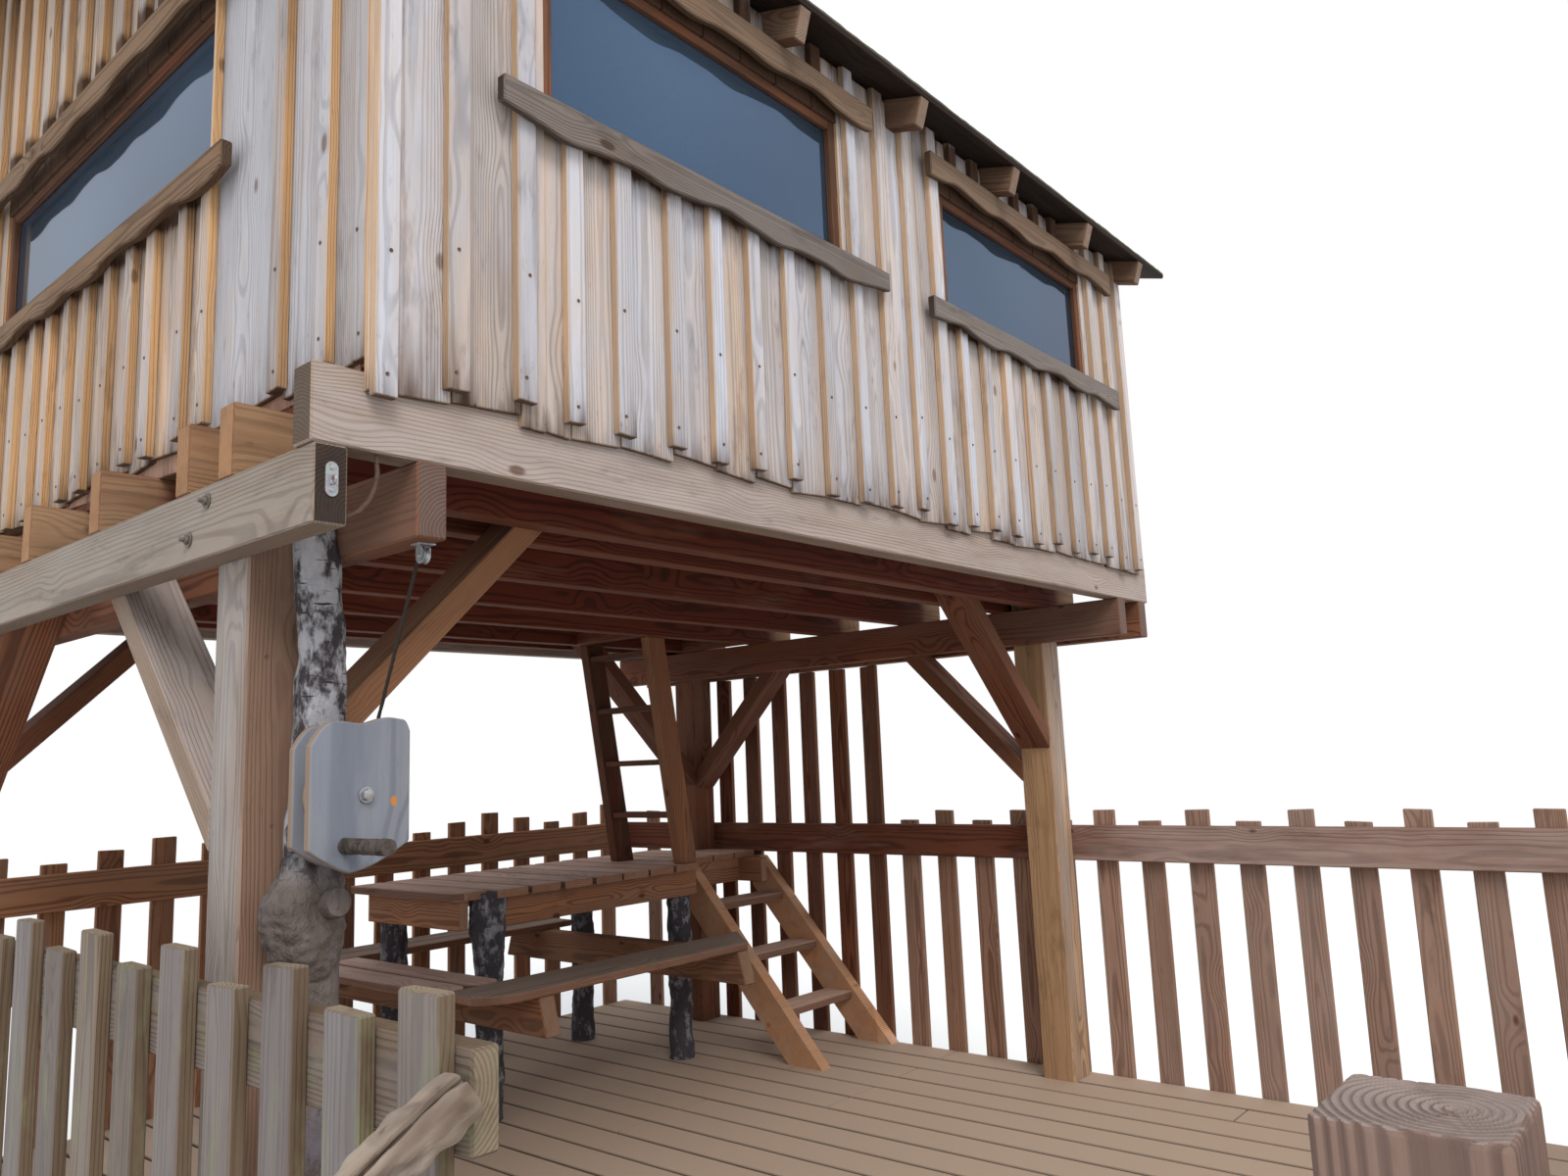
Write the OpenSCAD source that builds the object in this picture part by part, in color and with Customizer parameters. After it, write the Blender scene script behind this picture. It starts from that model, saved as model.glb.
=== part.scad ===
// Tree house: a boarded cabin on four square posts above a fenced timber deck.
// The origin is the centre of the near left post's foot on the ground.
// X runs along the window wall, Y runs to the back and Z runs up.

/* [Posts and floor frame] */
// Distance between post centres along the window wall
span_x = 3620; // [3560:10:3680]
// Distance between post centres from front to back
span_y = 2254; // [2230:2:2280]
// Side of a square post
post = 150; // [140:1:150]
// Height of the underside of the floor beams
beam_z = 2412; // [2380:1:2440]
// Width of a floor beam
beam_w = 70; // [60:1:80]
// Depth of a floor beam
beam_h = 158; // [140:1:170]
// Distance that the floor frame runs out past the post centres, front and back
overhang = 485; // [470:1:500]
// Width of a floor joist
joist_w = 66; // [60:1:66]
// Depth of a floor joist
joist_h = 160; // [150:1:170]

/* [Deck] */
// Height of the deck surface above the lowest ground
deck_top = 500; // [440:1:600]
// Thickness of the deck boards
deck_board = 27; // [24:1:32]
// Height of the rail top above the deck
rail_height = 1083; // [1000:1:1150]
// Distance from one picket to the next
picket_pitch = 212.5; // [200:0.5:220]
// Width of a picket
picket_w = 98; // [90:1:104]

/* [Cabin] */
// Thickness of a stud wall with its lining
wall_t = 80; // [60:1:100]
// Thickness of a wide cladding board
board_t = 16; // [14:1:18]
// Thickness of a batten over the joints
batten_t = 24; // [20:1:26]
// Width of a batten
batten_w = 50; // [44:1:60]
// Height of the rafters' underside at the front face
eaves_z = 4050; // [4040:1:4080]
// Pitch of the roof
roof_pitch = 18; // [16:0.5:19]
// Depth of a rafter
rafter_d = 100; // [90:1:120]
// Width of a rafter
rafter_w = 52; // [45:1:60]
// Thickness of the roof covering with its boards
roof_t = 33; // [28:1:45]

/* [Winch] */
// Height of the winch axle
winch_z = 1901; // [1850:1:1950]
// Radius of the winch axle
axle_r = 8; // [6:0.5:10]
// Gap between the axle and the hole that turns on it
axle_gap = 0.5; // [0.4:0.1:1]

/* [Hidden] */
$fn = 32;

// Timber colours
weathered = "#b9ab98";
fresh_larch = "#b98a5e";
red_brown = "#8a5f45";
grey_brown = "#8b7765";
deck_grey = "#92857a";
bark_white = "#b9b4ac";
bark_dark = "#3c3836";

half = post / 2;
joist_z = beam_z + beam_h;
floor_z = joist_z + joist_h;
floor_t = 25;
front_y = -overhang;
back_y = span_y + overhang;
floor_top = floor_z + floor_t;

// Planes of the wall frames, on the cladding side
wall_left = -8;
wall_right = span_x + 30;
clad_t = board_t + batten_t;
clad_left = wall_left - clad_t;
clad_right = wall_right + clad_t;
clad_front = front_y - clad_t;
clad_back = back_y + clad_t;

// Windows: left edge, right edge, sill height and head height
front_windows = [[392, 1560, 3480, 3950], [2170, 3300, 3490, 3945]];
left_window = [266, 1980, 3470, 3945];
glass_t = 6;
glass_set = 14;

// Joist near faces from front to back, in pairs beside the posts
joist_ys = [-half - joist_w, half, 600, 1115, 1604, span_y - half - joist_w, span_y + half];
joist_left = -half - beam_w;
joist_right = span_x + half + beam_w;
// Floor hatch above the ladder, in one bay between two joists
hatch_x0 = 2690;
hatch_x1 = 3390;
hatch_y0 = 1604 + joist_w;
hatch_y1 = span_y - half - joist_w;

// Roof
slope = tan(roof_pitch);
rafter_v = rafter_d / cos(roof_pitch);
rafter_ends = [6, 629, 1262, 1896, 2531, 3164, 3689];
rafter_front = -619;
rafter_back = clad_back + 98;
roof_left = -279;
roof_right = 3921;
roof_gap = 0.1;

// Deck outline
deck_left = -265;
deck_right = span_x + half + 45;
deck_back = 3030;
deck_front = -2700;
entry_left = -132;
entry_y = -2155;
deck_under = deck_top - deck_board;
frame_h = 145;
frame_t = 45;
frame_z = deck_under - frame_h;
bearer_h = 145;
bearer_w = 60;
bearer_z = frame_z - bearer_h;
bearer_xs = [half, 1780, span_x - half - bearer_w];
pier_ys = [-2500, -700, 1100, 2850];
pier = 200;
deck_joist_ys = [-1850, -1340, -830, -300, half, 600, 1110, 1620, span_y - half - bearer_w, 2620, 2970];

// Railings
rail_h = 155;
rail_t = 45;
picket_t = 28;
rail_top = deck_top + rail_height;
rail_z = rail_top - rail_h;
picket_z = frame_z + 25;
tall_count = 7;
first_picket = 2388;

// Table and benches
table_z = 1440;
slat_t = 35;
leg_r = 60;
legs = [[1800, 1720], [2940, 1730], [1780, 2430], [2930, 2470]];
bench_z = 1100;
plank_t = 34;

// Stair and ladder
stair_angle = 47.2;
stair_foot_y = 980;
stringer_d = 150;
stringer_w = 65;
stair_left = 3110;
stair_rise = table_z - slat_t - deck_top;
stair_back = stair_foot_y + stair_rise / tan(stair_angle) + 60;
stair_right = deck_right - 5;
tread_rise = 238;

// Winch
pole_x = 55;
pole_y = -150;
pole_r = 50;
burl_x = 20;
burl_z = 1645;
burl_r = 82;
stub_x = 45;
winch_x = 60;
flat_y = -198;

function rafter_under(y) = eaves_z + (y - clad_front) * slope;
function roof_under(y) = rafter_under(y) + rafter_v + roof_gap;
function ripple(t, seed) = 9 * sin(t * 0.95 + seed) + 5 * sin(t * 0.41 + 2.3 * seed);

// Region below a sloping line, between two depths and two widths
module below_slope(x0, x1, y0, y1, lift) {
    translate([x0, 0, 0])
        rotate([90, 0, 90])
            linear_extrude(height = x1 - x0)
                polygon([
                    [y0, 0],
                    [y1, 0],
                    [y1, rafter_under(y1) + lift],
                    [y0, rafter_under(y0) + lift]
                ]);
}

module square_post(x, y) {
    translate([x - half, y - half, 0])
        cube([post, post, floor_z]);
}

module near_left_post() {
    color(red_brown)
        square_post(0, 0);
}

module near_right_post() {
    color(fresh_larch)
        square_post(span_x, 0);
}

module far_left_post() {
    color(red_brown)
        square_post(0, span_y);
}

module far_right_post() {
    color(red_brown)
        square_post(span_x, span_y);
}

// Two beams that clasp the posts of one side
module beam_pair(x) {
    for (x0 = [x - half - beam_w, x + half])
        translate([x0, front_y, beam_z])
            cube([beam_w, back_y - front_y, beam_h]);
}

module left_beams() {
    color(grey_brown)
        beam_pair(0);
}

module right_beams() {
    color(grey_brown)
        beam_pair(span_x);
}

module rim_beams() {
    rim_t = 73;
    color(grey_brown)
        for (y = [front_y, back_y - rim_t])
            translate([-152, y, joist_z])
                cube([span_x + 326, rim_t, joist_h]);
}

module floor_joists() {
    color(red_brown)
        union() {
            for (y = joist_ys)
                translate([joist_left, y, joist_z])
                    cube([joist_right - joist_left, joist_w, joist_h]);
            for (x = [hatch_x0 - joist_w, hatch_x1])
                translate([x, hatch_y0, joist_z])
                    cube([joist_w, hatch_y1 - hatch_y0, joist_h]);
        }
}

module cabin_floor() {
    color(red_brown)
        difference() {
            translate([wall_left, front_y, floor_z])
                cube([wall_right - wall_left, back_y - front_y, floor_t]);
            translate([hatch_x0, hatch_y0, floor_z - 1])
                cube([hatch_x1 - hatch_x0, hatch_y1 - hatch_y0, floor_t + 2]);
        }
}

// Knee brace in the X-Z plane: a joist timber laid flat, as wide as the post
module brace(foot_z, top_z) {
    reach = top_z - foot_z;
    rise = joist_w * sqrt(2);
    translate([0, half, 0])
        rotate([90, 0, 0])
            linear_extrude(height = post)
                polygon([
                    [0, foot_z],
                    [reach, top_z],
                    [reach - rise, top_z],
                    [0, foot_z + rise]
                ]);
}

module brace_pair(x, inward) {
    for (end = [0, 1]) {
        y = end * span_y;
        turn = end == 0 ? 90 : -90;
        translate([x, y, 0])
            rotate([0, 0, turn])
                translate([half, 0, 0])
                    brace(1790, joist_z);
        translate([x, y, 0])
            rotate([0, 0, inward > 0 ? 0 : 180])
                translate([half, 0, 0])
                    brace(end == 0 ? 1937 : inward > 0 ? 1945 : 1807, floor_z);
    }
}

module left_braces() {
    color(red_brown)
        brace_pair(0, 1);
}

module right_braces() {
    color(red_brown)
        brace_pair(span_x, -1);
}

// Battens of a clad wall, upright, along X from the origin, with uneven lower ends
module battens(length, height) {
    pitch = 160;
    count = floor((length - batten_w) / pitch);
    step = (length - batten_w) / count;
    for (k = [0 : count]) {
        drop = 8 * sin(k * 97) + 6 * sin(k * 31);
        wide = k == 0 || k == count ? batten_w : batten_w + 5 * sin(k * 137);
        translate([k * step, 0, -drop])
            cube([wide, batten_t, height + drop]);
    }
}

module rafter(x_end, grow) {
    translate([x_end - rafter_w - grow, rafter_front, rafter_under(rafter_front)])
        rotate([roof_pitch, 0, 0])
            translate([0, 0, -grow])
                cube([rafter_w + 2 * grow, (rafter_back - rafter_front) / cos(roof_pitch), rafter_d + grow]);
}

module window_hole(w, y0, y1) {
    translate([w[0], y0, w[2]])
        cube([w[1] - w[0], y1 - y0, w[3] - w[2]]);
}

module front_wall() {
    top = 600 + rafter_under(front_y + wall_t);
    color(weathered)
        difference() {
            intersection() {
                union() {
                    translate([wall_left, front_y, floor_top])
                        cube([wall_right - wall_left, wall_t, top]);
                    translate([clad_left, front_y - board_t, joist_z + 130])
                        cube([clad_right - clad_left, board_t, top]);
                    translate([clad_left, clad_front, joist_z + 148])
                        battens(clad_right - clad_left, top);
                }
                below_slope(clad_left, clad_right, clad_front - 1, front_y + wall_t + 1, rafter_v);
            }
            for (x = rafter_ends)
                rafter(x, 0);
            for (w = front_windows)
                window_hole(w, clad_front - 1, front_y + wall_t + 1);
        }
}

module back_wall() {
    top = 600 + rafter_under(clad_back);
    color(weathered)
        difference() {
            intersection() {
                union() {
                    translate([wall_left, back_y - wall_t, floor_top])
                        cube([wall_right - wall_left, wall_t, top]);
                    translate([clad_left, back_y, joist_z + 130])
                        cube([clad_right - clad_left, board_t, top]);
                    translate([clad_left, back_y + board_t, joist_z + 148])
                        battens(clad_right - clad_left, top);
                }
                below_slope(clad_left, clad_right, back_y - wall_t - 1, clad_back + 1, rafter_v);
            }
            for (x = rafter_ends)
                rafter(x, 0);
        }
}

// Side wall under the first or last rafter; the cladding faces the given side
module side_wall(frame_x, side) {
    top = 600 + rafter_under(clad_back);
    x_in = side < 0 ? frame_x : frame_x - wall_t;
    x_board = side < 0 ? frame_x - board_t : frame_x;
    x_batten = side < 0 ? frame_x - clad_t : frame_x + clad_t;
    intersection() {
        union() {
            translate([x_in, front_y + wall_t, floor_top])
                cube([wall_t, back_y - front_y - 2 * wall_t, top]);
            translate([x_board, front_y, floor_z + 48])
                cube([board_t, back_y - front_y, top]);
            translate([x_batten, side < 0 ? back_y : front_y, floor_z + 54])
                rotate([0, 0, side < 0 ? -90 : 90])
                    battens(back_y - front_y, top);
        }
        below_slope(frame_x - 200, frame_x + 200, front_y - 1, back_y + 1, 0);
    }
}

module left_wall() {
    color(weathered)
        difference() {
            side_wall(wall_left, -1);
            translate([clad_left - 1, left_window[0], left_window[2]])
                cube([wall_t + clad_t + 2, left_window[1] - left_window[0], left_window[3] - left_window[2]]);
        }
}

module right_wall() {
    color(weathered)
        side_wall(wall_right, 1);
}

// Flat board with a live, waving lower edge, along X from the origin, hanging below Z zero
module live_board(length, depth, thick, seed) {
    steps = 48;
    translate([0, thick, 0])
        rotate([90, 0, 0])
            linear_extrude(height = thick)
                polygon(concat(
                    [[length, 0], [0, 0]],
                    [for (k = [0 : steps]) let (t = length * k / steps) [t, -depth - ripple(t, seed)]]
                ));
}

module front_window_boards() {
    sill_t = 30;
    head_z = rafter_under(clad_front - sill_t) - 1;
    color(grey_brown)
        union() {
            translate([240, clad_front - sill_t, 3480])
                live_board(1500, 70, sill_t, 20);
            translate([2006, clad_front - sill_t, 3490])
                live_board(1504, 68, sill_t, 130);
            translate([240, clad_front - sill_t, head_z])
                live_board(1450, 76, sill_t, 210);
            translate([2040, clad_front - sill_t, head_z])
                live_board(1480, 79, sill_t, 300);
        }
}

module left_window_boards() {
    sill_t = 30;
    color(grey_brown)
        for (b = [[3470, 66, 40], [4030, 74, 160]])
            translate([clad_left, 2120, b[0]])
                rotate([0, 0, -90])
                    translate([0, -sill_t, 0])
                        live_board(1986, b[1], sill_t, b[2]);
}

module window_glass() {
    color("#39424c") {
        for (w = front_windows)
            window_hole(w, front_y + glass_set, front_y + glass_set + glass_t);
        translate([wall_left + glass_set, left_window[0], left_window[2]])
            cube([glass_t, left_window[1] - left_window[0], left_window[3] - left_window[2]]);
    }
}

module rafters() {
    color(red_brown)
        for (x = rafter_ends)
            rafter(x, 0);
}

module roof_deck() {
    y0 = -655;
    y1 = rafter_back + 36;
    color("#5b5b4a")
        translate([roof_left, 0, 0])
            rotate([90, 0, 90])
                linear_extrude(height = roof_right - roof_left)
                    polygon([
                        [y0, roof_under(y0)],
                        [y1, roof_under(y1)],
                        [y1, roof_under(y1) + roof_t],
                        [y0, roof_under(y0) + roof_t]
                    ]);
}

module post_holes() {
    for (x = [0, span_x])
        for (y = [0, span_y])
            square_post(x, y);
    newel_shape();
}

module deck_boards() {
    color(deck_grey)
        difference() {
            translate([0, 0, deck_under])
                linear_extrude(height = deck_board)
                    polygon([
                        [entry_left, deck_front],
                        [deck_right, deck_front],
                        [deck_right, deck_back],
                        [deck_left, deck_back],
                        [deck_left, entry_y],
                        [entry_left, entry_y]
                    ]);
            post_holes();
        }
}

module deck_frame() {
    inner_right = deck_right - frame_t;
    color(grey_brown)
        difference() {
            union() {
                translate([deck_left, entry_y, frame_z])
                    cube([frame_t, deck_back - entry_y, frame_h]);
                translate([entry_left, deck_front, frame_z])
                    cube([frame_t, entry_y - deck_front, frame_h]);
                translate([inner_right, deck_front, frame_z])
                    cube([frame_t, deck_back - deck_front, frame_h]);
                translate([entry_left, deck_front, frame_z])
                    cube([deck_right - entry_left, bearer_w, frame_h]);
                translate([deck_left, entry_y, frame_z])
                    cube([deck_right - deck_left, bearer_w, frame_h]);
                for (y = deck_joist_ys)
                    translate([deck_left, y, frame_z])
                        cube([deck_right - deck_left, bearer_w, frame_h]);
            }
            post_holes();
        }
}

module deck_bearers() {
    color(grey_brown)
        for (x = bearer_xs)
            translate([x, deck_front, bearer_z])
                cube([bearer_w, deck_back - deck_front, bearer_h]);
}

module deck_piers() {
    color("#8d8b86")
        for (x = bearer_xs)
            for (y = pier_ys)
                translate([x + bearer_w / 2 - pier / 2, y - pier / 2, 0])
                    cube([pier, pier, bearer_z]);
}

function picket_top(k) = rail_top + (k % 2 == 0 ? 67 : 19);

// Picket on the outside of a rail that runs along Y
module side_picket(x, y, k, top) {
    translate([x, y, picket_z])
        cube([picket_t, picket_w, top - picket_z]);
}

module right_railing() {
    color(red_brown)
        union() {
            translate([deck_right - rail_t, deck_front, rail_z])
                cube([rail_t, deck_back - deck_front, rail_h]);
            for (k = [-2, -1, 7, 8, 9, 10, 11, 12, 13, 14, 15, 16, 17, 18, 19, 20, 21, 22, 23])
                side_picket(deck_right, first_picket - k * picket_pitch - picket_w, k, picket_top(k));
        }
}

module tall_pickets() {
    color(red_brown)
        for (k = [0 : tall_count - 1])
            side_picket(deck_right, first_picket - k * picket_pitch - picket_w, k, beam_z);
}

module left_railing() {
    near_y = -1170;
    color("#a39a8c")
        union() {
            translate([deck_left, near_y, rail_z + 20])
                cube([rail_t, deck_back - near_y, rail_h - 20]);
            for (k = [0 : 21])
                side_picket(deck_left - picket_t, near_y + 34 + k * 195, k, picket_top(k) + 4);
        }
}

module back_railing() {
    color(red_brown)
        union() {
            translate([deck_left + rail_t, deck_back - rail_t, rail_z])
                cube([deck_right - deck_left - 2 * rail_t, rail_t, rail_h]);
            for (k = [0 : 17])
                translate([deck_left + 120.5 + k * 218.5, deck_back, picket_z])
                    cube([picket_w, picket_t, rail_top + 78 + 39 * sin(90 * k) - picket_z]);
        }
}

module near_railing() {
    color(red_brown)
        union() {
            translate([entry_left, deck_front, rail_z])
                cube([deck_right - rail_t - entry_left, rail_t, rail_h]);
            for (k = [0 : 17])
                translate([entry_left + 20 + k * picket_pitch, deck_front - picket_t, picket_z])
                    cube([picket_w, picket_t, picket_top(k) - picket_z]);
        }
}

// Short panel from the near corner to the newel post
module entry_railing() {
    color(red_brown)
        union() {
            translate([entry_left, deck_front + rail_t, rail_z])
                cube([rail_t, -2305 - deck_front - rail_t, rail_h]);
            for (k = [0, 1])
                side_picket(entry_left - picket_t, deck_front + 20 + k * 190, k, picket_top(k));
        }
}

module newel_shape() {
    translate([entry_left, -2305, 0])
        cube([post, post, 1632]);
}

module newel_post() {
    color(fresh_larch)
        newel_shape();
}

// Debarked branch that falls away from the rail's end to a stake in the path's edge
module branch_handrail() {
    fall = 26;
    reach = 783;
    top = [-282, -1174, 1528];
    color("#a79a86")
        union() {
            translate(top)
                rotate([0, -90 - fall, 0])
                    cylinder(h = reach / cos(fall), r1 = 37, r2 = 43);
            translate([top[0] - reach, top[1], 0])
                cylinder(h = top[2] - reach * tan(fall), r1 = 46, r2 = 40);
        }
}

// Slats of the table and of the landing behind it, with staggered near ends
module table_top() {
    pitch = 174;
    color(red_brown)
        difference() {
            union() {
                for (k = [0 : 7])
                    translate([1600 + k * pitch, 1600 + 8 * sin(k * 70), table_z - slat_t])
                        cube([pitch - 7, 900, slat_t]);
                for (k = [8 : 11])
                    translate([1600 + k * pitch, 1850 + 8 * sin(k * 70), table_z - slat_t])
                        cube([pitch - 7, k > 10 ? 320 : 650, slat_t]);
            }
            leg_shapes(10);
        }
}

module leg_shapes(grow) {
    for (p = legs)
        translate([p[0], p[1], deck_top])
            cylinder(h = table_z - slat_t - deck_top + grow, r = leg_r);
}

module table_legs() {
    color(bark_dark)
        leg_shapes(0);
}

// Aprons below the slats and the bearers that carry the benches
module table_bearers() {
    apron_z = table_z - slat_t - 125;
    under = bench_z - plank_t;
    color(red_brown)
        difference() {
            union() {
                translate([1760, 1665, apron_z])
                    cube([1250, rail_t, 125]);
                translate([stair_left, stair_back, apron_z])
                    cube([deck_right - rail_t - 4 - stair_left, rail_t, 125]);
                translate([1760, 2430, apron_z])
                    cube([deck_right - rail_t - 4 - 1760, rail_t, 125]);
                for (x = [1650, 2885, 3560])
                    translate([x, 1710, apron_z])
                        cube([rail_t, 720, 125]);
                for (x = [1665, 2800])
                    translate([x, 1180, under - 150])
                        cube([75, 1760, 150]);
                for (y = [1560, 2440])
                    translate([1400, y, under - 60])
                        cube([265, 60, 60]);
            }
            leg_shapes(0);
            square_post(span_x, span_y);
        }
}

module long_benches() {
    under = bench_z - plank_t;
    color(weathered)
        union() {
            translate([0, 0, under])
                linear_extrude(height = plank_t)
                    polygon([[1420, 1190], [2860, 1190], [3090, 1470], [1420, 1470]]);
            for (y = [2640, 2790])
                translate([1500, y, under])
                    cube([1500, 140, plank_t]);
        }
}

// Two planks along Y with rounded near corners
module side_bench() {
    under = bench_z - plank_t;
    color(weathered)
        for (b = [[1400, 150], [1560, 150]])
            translate([b[0], 1480, under])
                linear_extrude(height = plank_t)
                    union() {
                        translate([0, 40])
                            square([b[1], 1100]);
                        translate([40, 0])
                            square([b[1] - 80, 41]);
                        for (x = [40, b[1] - 40])
                            translate([x, 40])
                                circle(r = 40);
                    }
}

// Sloping side of the stair, in the Y-Z plane
module stair_side(x) {
    foot_len = stringer_d / sin(stair_angle);
    translate([x, 0, 0])
        rotate([90, 0, 90])
            linear_extrude(height = stringer_w)
                polygon([
                    [stair_foot_y, deck_top],
                    [stair_back - 60, deck_top + stair_rise],
                    [stair_back, deck_top + stair_rise],
                    [stair_back, deck_top + stair_rise + 60 * tan(stair_angle) - stringer_d / cos(stair_angle)],
                    [stair_foot_y + foot_len, deck_top]
                ]);
}

module stair_stringers() {
    color(fresh_larch)
        for (x = [stair_left, stair_right - stringer_w])
            stair_side(x);
}

module stair_treads() {
    tread_t = 36;
    tread_d = 165;
    gap = stair_right - stair_left - 2 * stringer_w;
    color(fresh_larch)
        for (k = [1 : 3])
            translate([stair_left + stringer_w, stair_foot_y + k * tread_rise / tan(stair_angle) + 12, deck_top + k * tread_rise - tread_t])
                cube([gap, tread_d, tread_t]);
}

// Ladder from the landing up through the floor hatch
module ladder() {
    lean = 0.17;
    top_z = joist_z;
    foot_x = 2940;
    near_y = 1640;
    far_y = span_y - half - joist_w;
    rise = top_z - table_z;
    color(fresh_larch)
        union() {
            for (y = [near_y, far_y])
                translate([0, y + 60, 0])
                    rotate([90, 0, 0])
                        linear_extrude(height = 60)
                            polygon([
                                [foot_x - 57, table_z],
                                [foot_x + 57, table_z],
                                [foot_x + 57 - lean * rise, top_z],
                                [foot_x - 57 - lean * rise, top_z]
                            ]);
            for (z = [1695, 1960, 2235, 2510])
                translate([foot_x - 45 - lean * (z - table_z), near_y + 60, z - 28])
                    cube([90, far_y - near_y - 60, 28]);
        }
}

// Standing pole with a sawn branch stub and a flat for the winch
module hoist_pole() {
    color(bark_white)
        difference() {
            union() {
                translate([pole_x, pole_y, deck_top])
                    cylinder(h = beam_z - deck_top, r1 = pole_r + 12, r2 = pole_r);
                translate([burl_x, pole_y, burl_z - 110])
                    cylinder(h = 90, r1 = 58, r2 = burl_r);
                translate([burl_x, pole_y, burl_z - 20])
                    cylinder(h = 50, r1 = burl_r, r2 = burl_r - 4);
                translate([burl_x, pole_y, burl_z + 30])
                    cylinder(h = 100, r1 = burl_r - 4, r2 = 46);
                translate([stub_x, pole_y, burl_z + 42])
                    rotate([84, 0, 4])
                        cylinder(h = 100, r = 25);
            }
            translate([pole_x - 150, flat_y - 100, winch_z - 160])
                cube([300, 100, 320]);
            translate([pole_x - 150, -post / 2 - 1, deck_top - 1])
                cube([300, 100, 1500]);
        }
}

// Wavy head and tapered foot of the hand-cut winch plates, above and below the axle, at a share u of their width
plate_left = -118;
plate_w = 218;
plate_cuts = 24;
function plate_head(u) = 142 + 14 * u - 4 * cos(720 * u) - 38 * pow(max(0, 1 - u / 0.2), 2) - 24 * pow(max(0, (u - 0.93) / 0.07), 2);
function plate_foot(u) = -152 + (u < 0.4 ? 49 * pow(1 - u / 0.4, 1.3) : 54 * pow((u - 0.4) / 0.6, 1.6));

module plate_outline(scale_by) {
    across = [for (k = [0 : plate_cuts]) k / plate_cuts];
    polygon(concat([for (u = across) scale_by * [plate_left + u * plate_w, plate_foot(u)]],
                   [for (u = across) scale_by * [plate_left + (1 - u) * plate_w, plate_head(1 - u)]]));
}

module winch_mount() {
    union() {
        color(fresh_larch)
            translate([winch_x + 18, flat_y, winch_z])
                rotate([90, 0, 0])
                    linear_extrude(height = 20)
                        plate_outline(0.97);
        color("silver")
            translate([winch_x, flat_y - 10, winch_z])
                rotate([90, 0, 0])
                    cylinder(h = 132, r = axle_r);
        color("silver")
            translate([winch_x, flat_y - 137, winch_z])
                rotate([90, 0, 0])
                    cylinder(h = 10, r = 15);
    }
}

// Turning part: front plate, drum, inner flange and peg handle
module winch_crank() {
    color("#8f9aa3")
        difference() {
            union() {
                translate([winch_x, flat_y - 110, winch_z])
                    rotate([90, 0, 0])
                        linear_extrude(height = 22)
                            plate_outline(1);
                translate([winch_x, flat_y - 38, winch_z])
                    rotate([90, 0, 0])
                        cylinder(h = 72, r = 45);
                translate([winch_x, flat_y - 26, winch_z])
                    rotate([90, 0, 0])
                        cylinder(h = 12, r = 80);
                translate([winch_x - 42, flat_y - 132, winch_z - 98])
                    rotate([90, 0, 0])
                        cylinder(h = 160, r = 16);
            }
            translate([winch_x, flat_y + 10, winch_z])
                rotate([90, 0, 0])
                    cylinder(h = 200, r = axle_r + axle_gap);
        }
}

// Small hanging pulley under the inner left beam
module pulley() {
    x = 125;
    y = -428;
    z = beam_z - 26;
    color("#c2bda8")
        union() {
            translate([x - 20, y - 16, beam_z - 4])
                cube([40, 32, 4]);
            for (dx = [-11, 8])
                translate([x + dx, y - 10, z - 12])
                    cube([3, 20, 34]);
            translate([x - 14, y, z])
                rotate([0, 90, 0])
                    cylinder(h = 28, r = 3.5);
            translate([x, y, z])
                rotate([0, 90, 0])
                    rotate_extrude()
                        polygon([[0, -7], [17, -7], [12, 0], [17, 7], [0, 7]]);
        }
}

// Taut rope from the drum up to the pulley
module hoist_rope() {
    from = [104, flat_y - 44, winch_z + 32];
    to = [125, -411, beam_z - 26];
    run = to - from;
    color("#3a342e")
        translate(from)
            rotate([0, acos(run[2] / norm(run)), atan2(run[1], run[0])])
                cylinder(h = norm(run), r = 4, $fn = 16);
}

near_left_post();
near_right_post();
far_left_post();
far_right_post();
left_beams();
right_beams();
rim_beams();
floor_joists();
cabin_floor();
left_braces();
right_braces();
front_wall();
back_wall();
left_wall();
right_wall();
front_window_boards();
left_window_boards();
window_glass();
rafters();
roof_deck();
deck_boards();
deck_frame();
deck_bearers();
deck_piers();
right_railing();
tall_pickets();
back_railing();
left_railing();
near_railing();
entry_railing();
newel_post();
branch_handrail();
table_top();
table_bearers();
table_legs();
long_benches();
side_bench();
stair_stringers();
stair_treads();
ladder();
hoist_pole();
winch_mount();
winch_crank();
pulley();
hoist_rope();
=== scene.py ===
import math
import random

import bpy
import numpy as np
from mathutils import Matrix, Vector, noise


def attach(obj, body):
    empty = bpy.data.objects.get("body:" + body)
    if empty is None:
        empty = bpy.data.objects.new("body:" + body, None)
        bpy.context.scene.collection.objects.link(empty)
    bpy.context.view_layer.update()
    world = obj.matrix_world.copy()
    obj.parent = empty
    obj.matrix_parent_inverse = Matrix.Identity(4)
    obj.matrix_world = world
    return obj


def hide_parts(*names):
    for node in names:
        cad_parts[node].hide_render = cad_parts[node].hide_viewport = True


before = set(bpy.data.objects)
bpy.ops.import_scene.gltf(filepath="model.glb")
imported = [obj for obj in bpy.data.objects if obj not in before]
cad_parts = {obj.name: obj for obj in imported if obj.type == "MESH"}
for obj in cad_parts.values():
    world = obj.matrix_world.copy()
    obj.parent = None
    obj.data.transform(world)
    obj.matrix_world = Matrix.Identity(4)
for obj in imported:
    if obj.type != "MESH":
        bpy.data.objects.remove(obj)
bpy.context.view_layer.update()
chance = random.Random(41)

X = Vector((1, 0, 0))
Y = Vector((0, 1, 0))
Z = Vector((0, 0, 1))

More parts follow.
